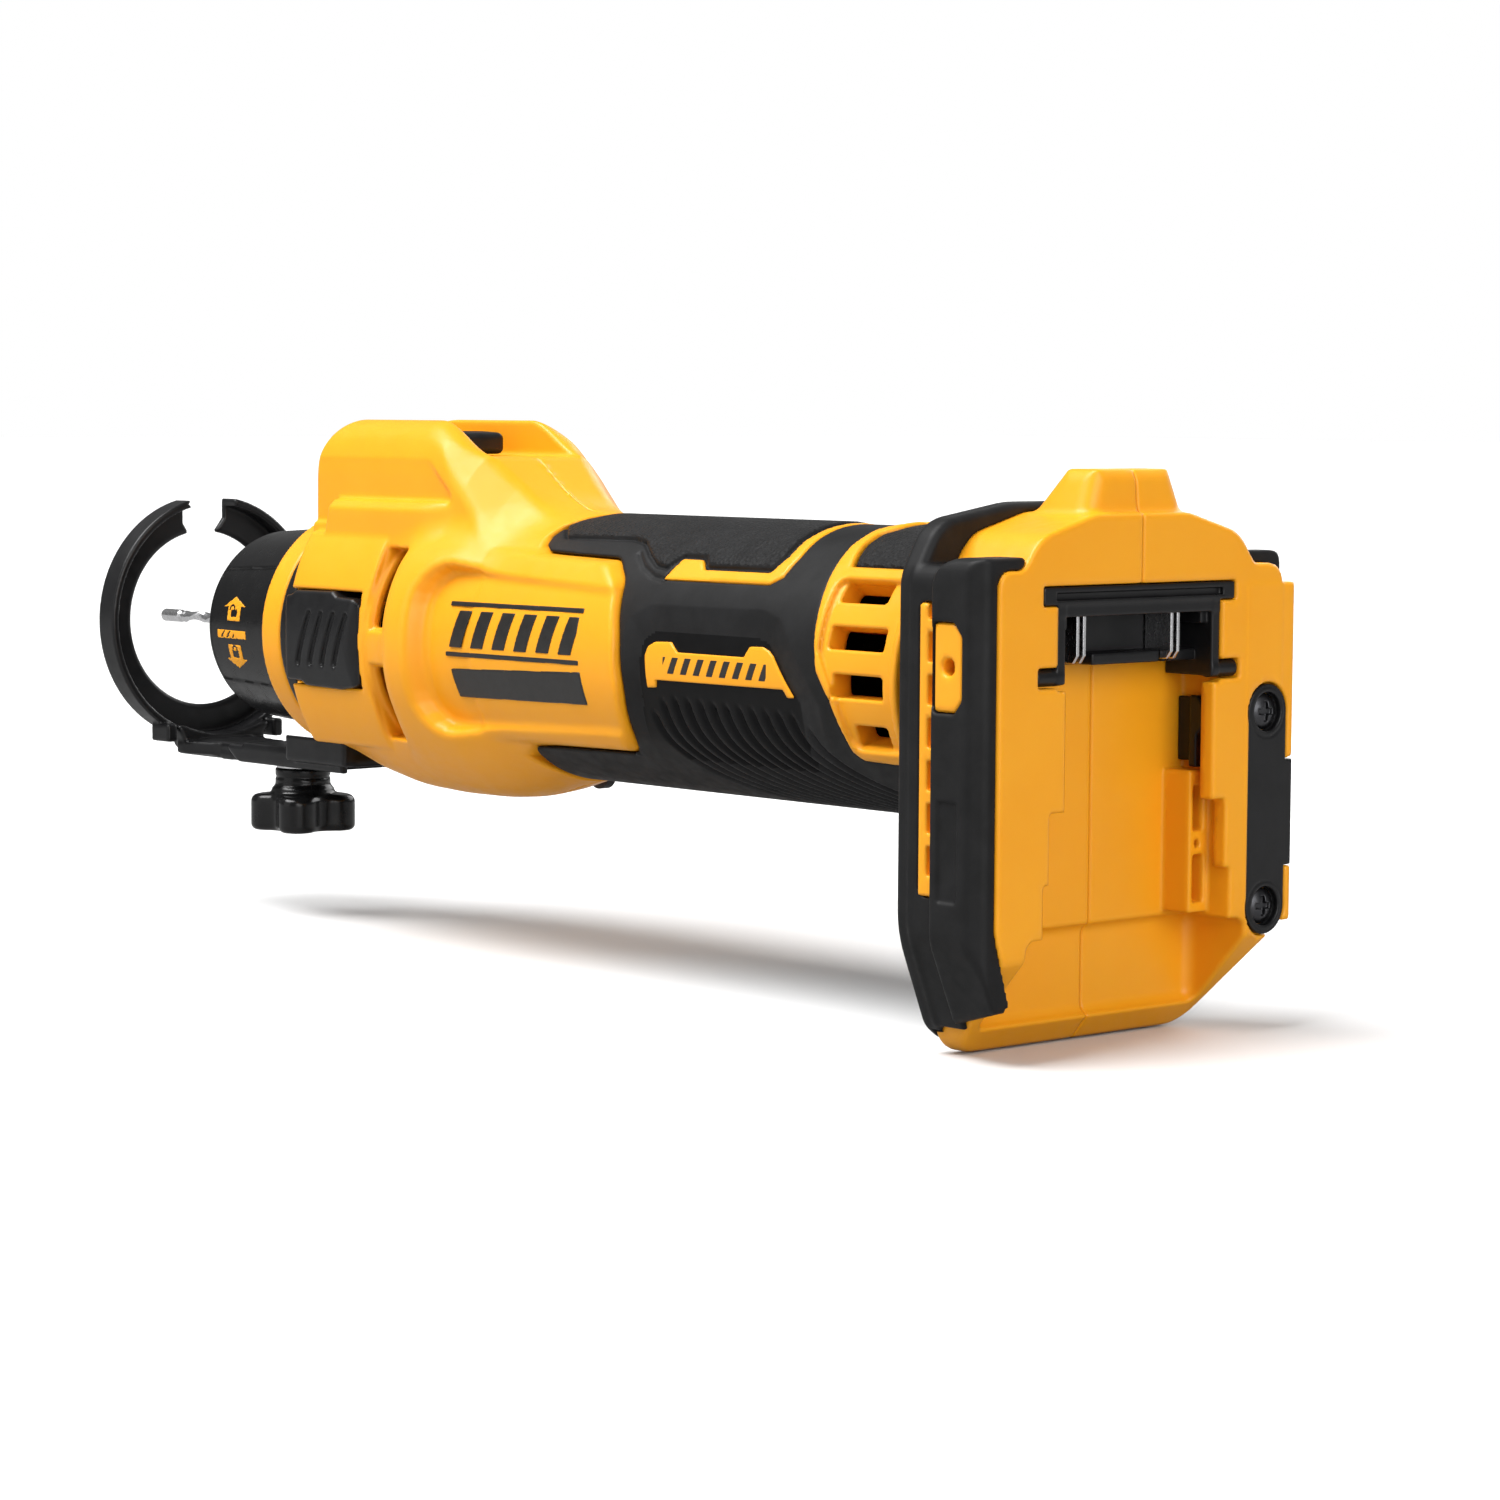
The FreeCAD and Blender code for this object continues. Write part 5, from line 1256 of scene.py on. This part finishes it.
FINISH = {
    "yellow_plastic": yellow_plastic(),
    "yellow_trim": yellow_plastic("yellow_trim", (0.90, 0.37, 0.012)),
    "black_rubber": rubber(),
    # glossy rubber for the grip's medallion; its darker colour than black_rubber is painted shade
    # of the sunk recess
    "black_rubber_pebbled": rubber("black_rubber_pebbled", 0.32),
    "black_rubber_glossy_painted_shade": black_plastic("black_rubber_glossy_painted_shade", 0.36,
                                            (0.003, 0.003, 0.0032), 0.12),
    "black_plastic": black_plastic("black_plastic", 0.22, (0.004, 0.004, 0.0042)),
    "black_satin": black_plastic("black_satin", 0.34, (0.0055, 0.0055, 0.006)),
    "label_black": painted("label_black", (0.012, 0.011, 0.010), 0.34),
    "dark_steel": metal("dark_steel", (0.075, 0.075, 0.08), 0.34),
    "bright_steel": metal("bright_steel", (0.66, 0.66, 0.67), 0.2, (6, 1, 1)),
    "lamination_steel": stacked_steel(),
    "copper": coil_metal(),
    "magnet": metal("magnet", (0.42, 0.41, 0.40), 0.3),
    "red_plastic": painted("red_plastic", (0.42, 0.012, 0.01), 0.42),
    "board_green": painted("board_green", (0.012, 0.11, 0.035), 0.36),
    "component_black": painted("component_black", (0.02, 0.02, 0.022), 0.42),
    "red_wire": painted("red_wire", (0.5, 0.015, 0.012), 0.38),
    "black_wire": painted("black_wire", (0.014, 0.014, 0.014), 0.42),
}

# ------------------------------------------------------------------ pieces


def piece(name, field, low, high, step, body, finish, nodes=(), right=True):
    """Builds one visible piece, fixes it to its body and hides the CAD parts that it stands for."""
    obj = solid_mesh(name, field, low, high, step, flip_y=not right)
    obj.data.materials.append(FINISH[finish])
    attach(obj, body)
    if nodes:
        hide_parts(*nodes)
    return obj


def pebble_panels(obj):
    """Gives the raised panels of a grip half the pebbled finish, and its medallion a glossy rubber
    whose darker colour is painted shade of the sunk recess.
    """
    mesh = obj.data
    mesh.materials.append(FINISH["black_rubber_pebbled"])
    mesh.materials.append(FINISH["black_rubber_glossy_painted_shade"])
    centre = np.empty(len(mesh.polygons) * 3, np.float32)
    mesh.polygons.foreach_get("center", centre)
    x, y, z = centre.reshape(-1, 3).T / MM
    s = np.arctan2(z, np.abs(y)) * GRIP_ROLL
    inside = minimum(polygon(x, s, bend(TOP_PANEL)), polygon(x, s, bend(REAR_PANEL))) < -0.6
    inside &= hypot(y, z) > 28.9
    # the medallion's faces take the darker glossy rubber, which paints the shade in its recess
    medallion_painted_shade = polygon(x, s, bend(MEDALLION)) < 0
    mesh.polygons.foreach_set("material_index", (inside + 2 * medallion_painted_shade).astype(np.int32))


for side, right in (("left", False), ("right", True)):
    piece("shell_" + side, lambda p: housing(p, right), (-239, 0, -70), (0.5, 45, 50), 0.62,
          "tool_body", "yellow_plastic", ["housing_" + side], right=right)
    sleeve = piece("grip_rubber_" + side, grip, (-160.5, 0, -30.5), (-25, 30.5, 30.5), 0.5,
                   "tool_body", "black_rubber", ["grip_" + side], right=right)
    pebble_panels(sleeve)
    piece("badge_plate_" + side, badge, (-115, 20, -7), (-65, 30, 7), 0.35,
          "tool_body", "yellow_trim", ["badge_" + side], right)
    piece("badge_marks_" + side, badge_marks, (-109, 24, -2), (-73, 30, 2), 0.22,
          "tool_body", "label_black", right=right)
    piece("label_plate_" + side, label, (-178, 24, -13), (-128, 32, -1), 0.35,
          "tool_body", "label_black", ["label_" + side], right=right)
    piece("label_marks_" + side, label_marks, (-180, 24, -3), (-130, 32, 12), 0.22,
          "tool_body", "label_black", right=right)
    piece("bumper_rubber_" + side, lambda p: bumper(p, right), (-26, 0, -68), (0, 44, 36), 0.5,
          "tool_body", "black_rubber", ["bumper_" + side], right=right)
    piece("release_button_" + side, release_pad, (-238, 19, -12.5), (-209, 33, 12.5), 0.4,
          "pad_" + side, "black_satin", ["release_pad_" + side], right)

piece("front_ring", nose_ring, (-263, -29, -29), (-211, 29, 29), 0.6, "tool_body",
      "yellow_trim", ["nose_ring"])
piece("front_collar", nose_collar, (-282, -25, -25), (-251, 25, 25), 0.45, "lock_collar",
      "black_plastic", ["nose_collar"])
for side, right in (("left", False), ("right", True)):
    piece("collar_marks_" + side, collar_marks, (-278, 15, -12), (-262, 24, 11), 0.18,
          "lock_collar", "yellow_trim", right=right)
piece("guide_arm", guide_mount, (-291, -28, -34), (-237, 28, 28), 0.5, "tool_body",
      "black_satin", ["guide_mount"])
piece("guide_ring", depth_guide, (-316, -31, -34), (-250, 31, 31), 0.5, "guide",
      "black_satin", ["depth_guide"])
piece("clamp_star", clamp_knob, (-286, -13.5, -50), (-259, 13.5, -33), 0.4, "knob",
      "black_plastic", ["clamp_knob"])
piece("clamp_bolt", clamp_stud, (-277, -4, -47), (-269, 4, -27.5), 0.25, "knob",
      "bright_steel", ["clamp_screw"])
piece("slide_button", switch_button, (-223, -9, 35.5), (-203.5, 9, 48), 0.35, "switch",
      "black_satin", ["switch_button"])
piece("hook_strip", hook_plate, (-2.2, 30, -51), (0.2, 45, 0), 0.3, "tool_body",
      "black_satin", ["hook_plate"])
piece("hook_strip_screws", plate_screws, (-10.5, 32, -50), (0, 41, -1.5), 0.2, "tool_body",
      "dark_steel", ["hook_plate_screws"])
piece("terminal_holder", terminal_block, (-13.2, -28.5, 0.5), (0, 28.5, 20), 0.35,
      "tool_body", "black_satin", ["terminal_block"])
piece("terminal_tongues", terminal_blades, (-9.6, -16.4, 4.4), (-1.8, 13.4, 15.6), 0.16,
      "tool_body", "bright_steel", ["terminal_blades"])
piece("latch_keeper", battery_stop, (-13.2, 21.5, -17.5), (-3.8, 26.2, -2.5), 0.3,
      "tool_body", "black_satin", ["battery_stop"])
piece("cutting_bit", router_bit, (-331.5, -2, -2), (-261.5, 2, 2), 0.16, "spindle",
      "bright_steel", ["router_bit"])

# the pieces inside keep their CAD meshes and take the finish named in the record
SLOT_OF = {part["node"]: part["material_slot"] for part in frame["record"]["subparts"]}
for node_name, node_object in frame["nodes"].items():
    node_object.data.materials.clear()
    node_object.data.materials.append(FINISH[SLOT_OF[node_name]])

# ------------------------------------------------------------------ camera, light, floor


VIEW = (48.149, 4.81, 0.318)              # degrees round the tool, up, and of roll
CAMERA_PLACE = (0.52571, -0.57082, 0.05255)
FOCAL_PIXELS, FRAME_PIXELS = 4072.2, 1500
SENSOR = 36


def camera():
    """Camera at the photograph's viewing angle."""
    azimuth, height, roll = (math.radians(a) for a in VIEW)
    back = Vector((math.sin(azimuth) * math.cos(height), -math.cos(azimuth) * math.cos(height),
                   math.sin(height)))
    right = Vector((math.cos(azimuth), math.sin(azimuth), 0))
    up = back.cross(right)
    c, s = math.cos(roll), math.sin(roll)
    right, up = right * c + up * s, up * c - right * s
    data = bpy.data.cameras.new("camera")
    data.sensor_width = SENSOR
    data.lens = FOCAL_PIXELS / FRAME_PIXELS * SENSOR
    data.clip_end = 20
    obj = linked("camera", data)
    obj.matrix_world = Matrix([*zip(right, up, back, CAMERA_PLACE), (0, 0, 0, 1)])
    bpy.context.scene.camera = obj


def lamp(name, place, target, size, power):
    """A soft rectangular studio lamp pointed at a target."""
    data = bpy.data.lights.new(name, "AREA")
    data.shape = "RECTANGLE"
    data.size, data.size_y = size
    data.energy = power
    obj = linked(name, data)
    obj.location = place
    obj.rotation_euler = (Vector(target) - Vector(place)).to_track_quat("-Z", "Y").to_euler()


def sun(name, toward, strength, angle):
    """A soft distant lamp shining along a direction."""
    data = bpy.data.lights.new(name, "SUN")
    data.energy = strength
    data.angle = math.radians(angle)
    linked(name, data).rotation_euler = Vector(toward).to_track_quat("-Z", "Y").to_euler()


WHITE = (1, 1, 1, 1)
SURROUND_LIGHT, SURROUND_SEEN = 0.22, 1    # the white surroundings' strengths
FLOOR_LIGHT, FLOOR_SEEN = 0.34, 0.8          # the floor's shades, to bounces and to the camera


def studio():
    """Plain pale floor, white surroundings and soft lamps."""
    world = bpy.data.worlds.new("studio")
    bpy.context.scene.world = world
    world.use_nodes = True
    tree = world.node_tree
    behind = tree.nodes["Background"]
    behind.inputs["Color"].default_value = WHITE
    behind.inputs["Strength"].default_value = SURROUND_LIGHT
    seen = tree.nodes.new("ShaderNodeBackground")
    seen.inputs["Color"].default_value = WHITE
    seen.inputs["Strength"].default_value = SURROUND_SEEN
    path = tree.nodes.new("ShaderNodeLightPath")
    mix = tree.nodes.new("ShaderNodeMixShader")
    tree.links.new(path.outputs["Is Camera Ray"], mix.inputs["Fac"])
    tree.links.new(behind.outputs["Background"], mix.inputs[1])
    tree.links.new(seen.outputs["Background"], mix.inputs[2])
    tree.links.new(mix.outputs["Shader"], tree.nodes["World Output"].inputs["Surface"])
    mesh = bpy.data.meshes.new("floor")
    reach, level = 12, CAD_BOX[0][2] - 0.4 * MM
    mesh.from_pydata([(-reach, -reach, level), (reach, -reach, level), (reach, reach, level),
                      (-reach, reach, level)], [], [(0, 1, 2, 3)])
    floor = linked("floor", mesh)
    material = bpy.data.materials.new("floor_pale")
    material.use_nodes = True
    shader = material.node_tree.nodes["Principled BSDF"]
    path = material.node_tree.nodes.new("ShaderNodeLightPath")
    pale = material.node_tree.nodes.new("ShaderNodeMapRange")
    pale.inputs["To Min"].default_value = FLOOR_LIGHT
    pale.inputs["To Max"].default_value = FLOOR_SEEN
    material.node_tree.links.new(path.outputs["Is Camera Ray"], pale.inputs["Value"])
    material.node_tree.links.new(pale.outputs["Result"], shader.inputs["Base Color"])
    shader.inputs["Roughness"].default_value = 0.9
    shader.inputs["Specular IOR Level"].default_value = 0.2
    mesh.materials.append(material)
    sun("key", (0.25, 0.45, -1), 4.9, 45)
    sun("rear_fill", (-1, 0.3, -0.35), 2, 50)
    lamp("side", (-0.45, -0.8, 0.25), (-0.15, 0, 0), (0.7, 0.7), 1.1)
    lamp("rim", (-0.3, 0.9, 0.4), (-0.15, 0, 0), (0.9, 0.5), 4)
    bpy.context.scene.view_settings.view_transform = "Standard"


camera()
studio()
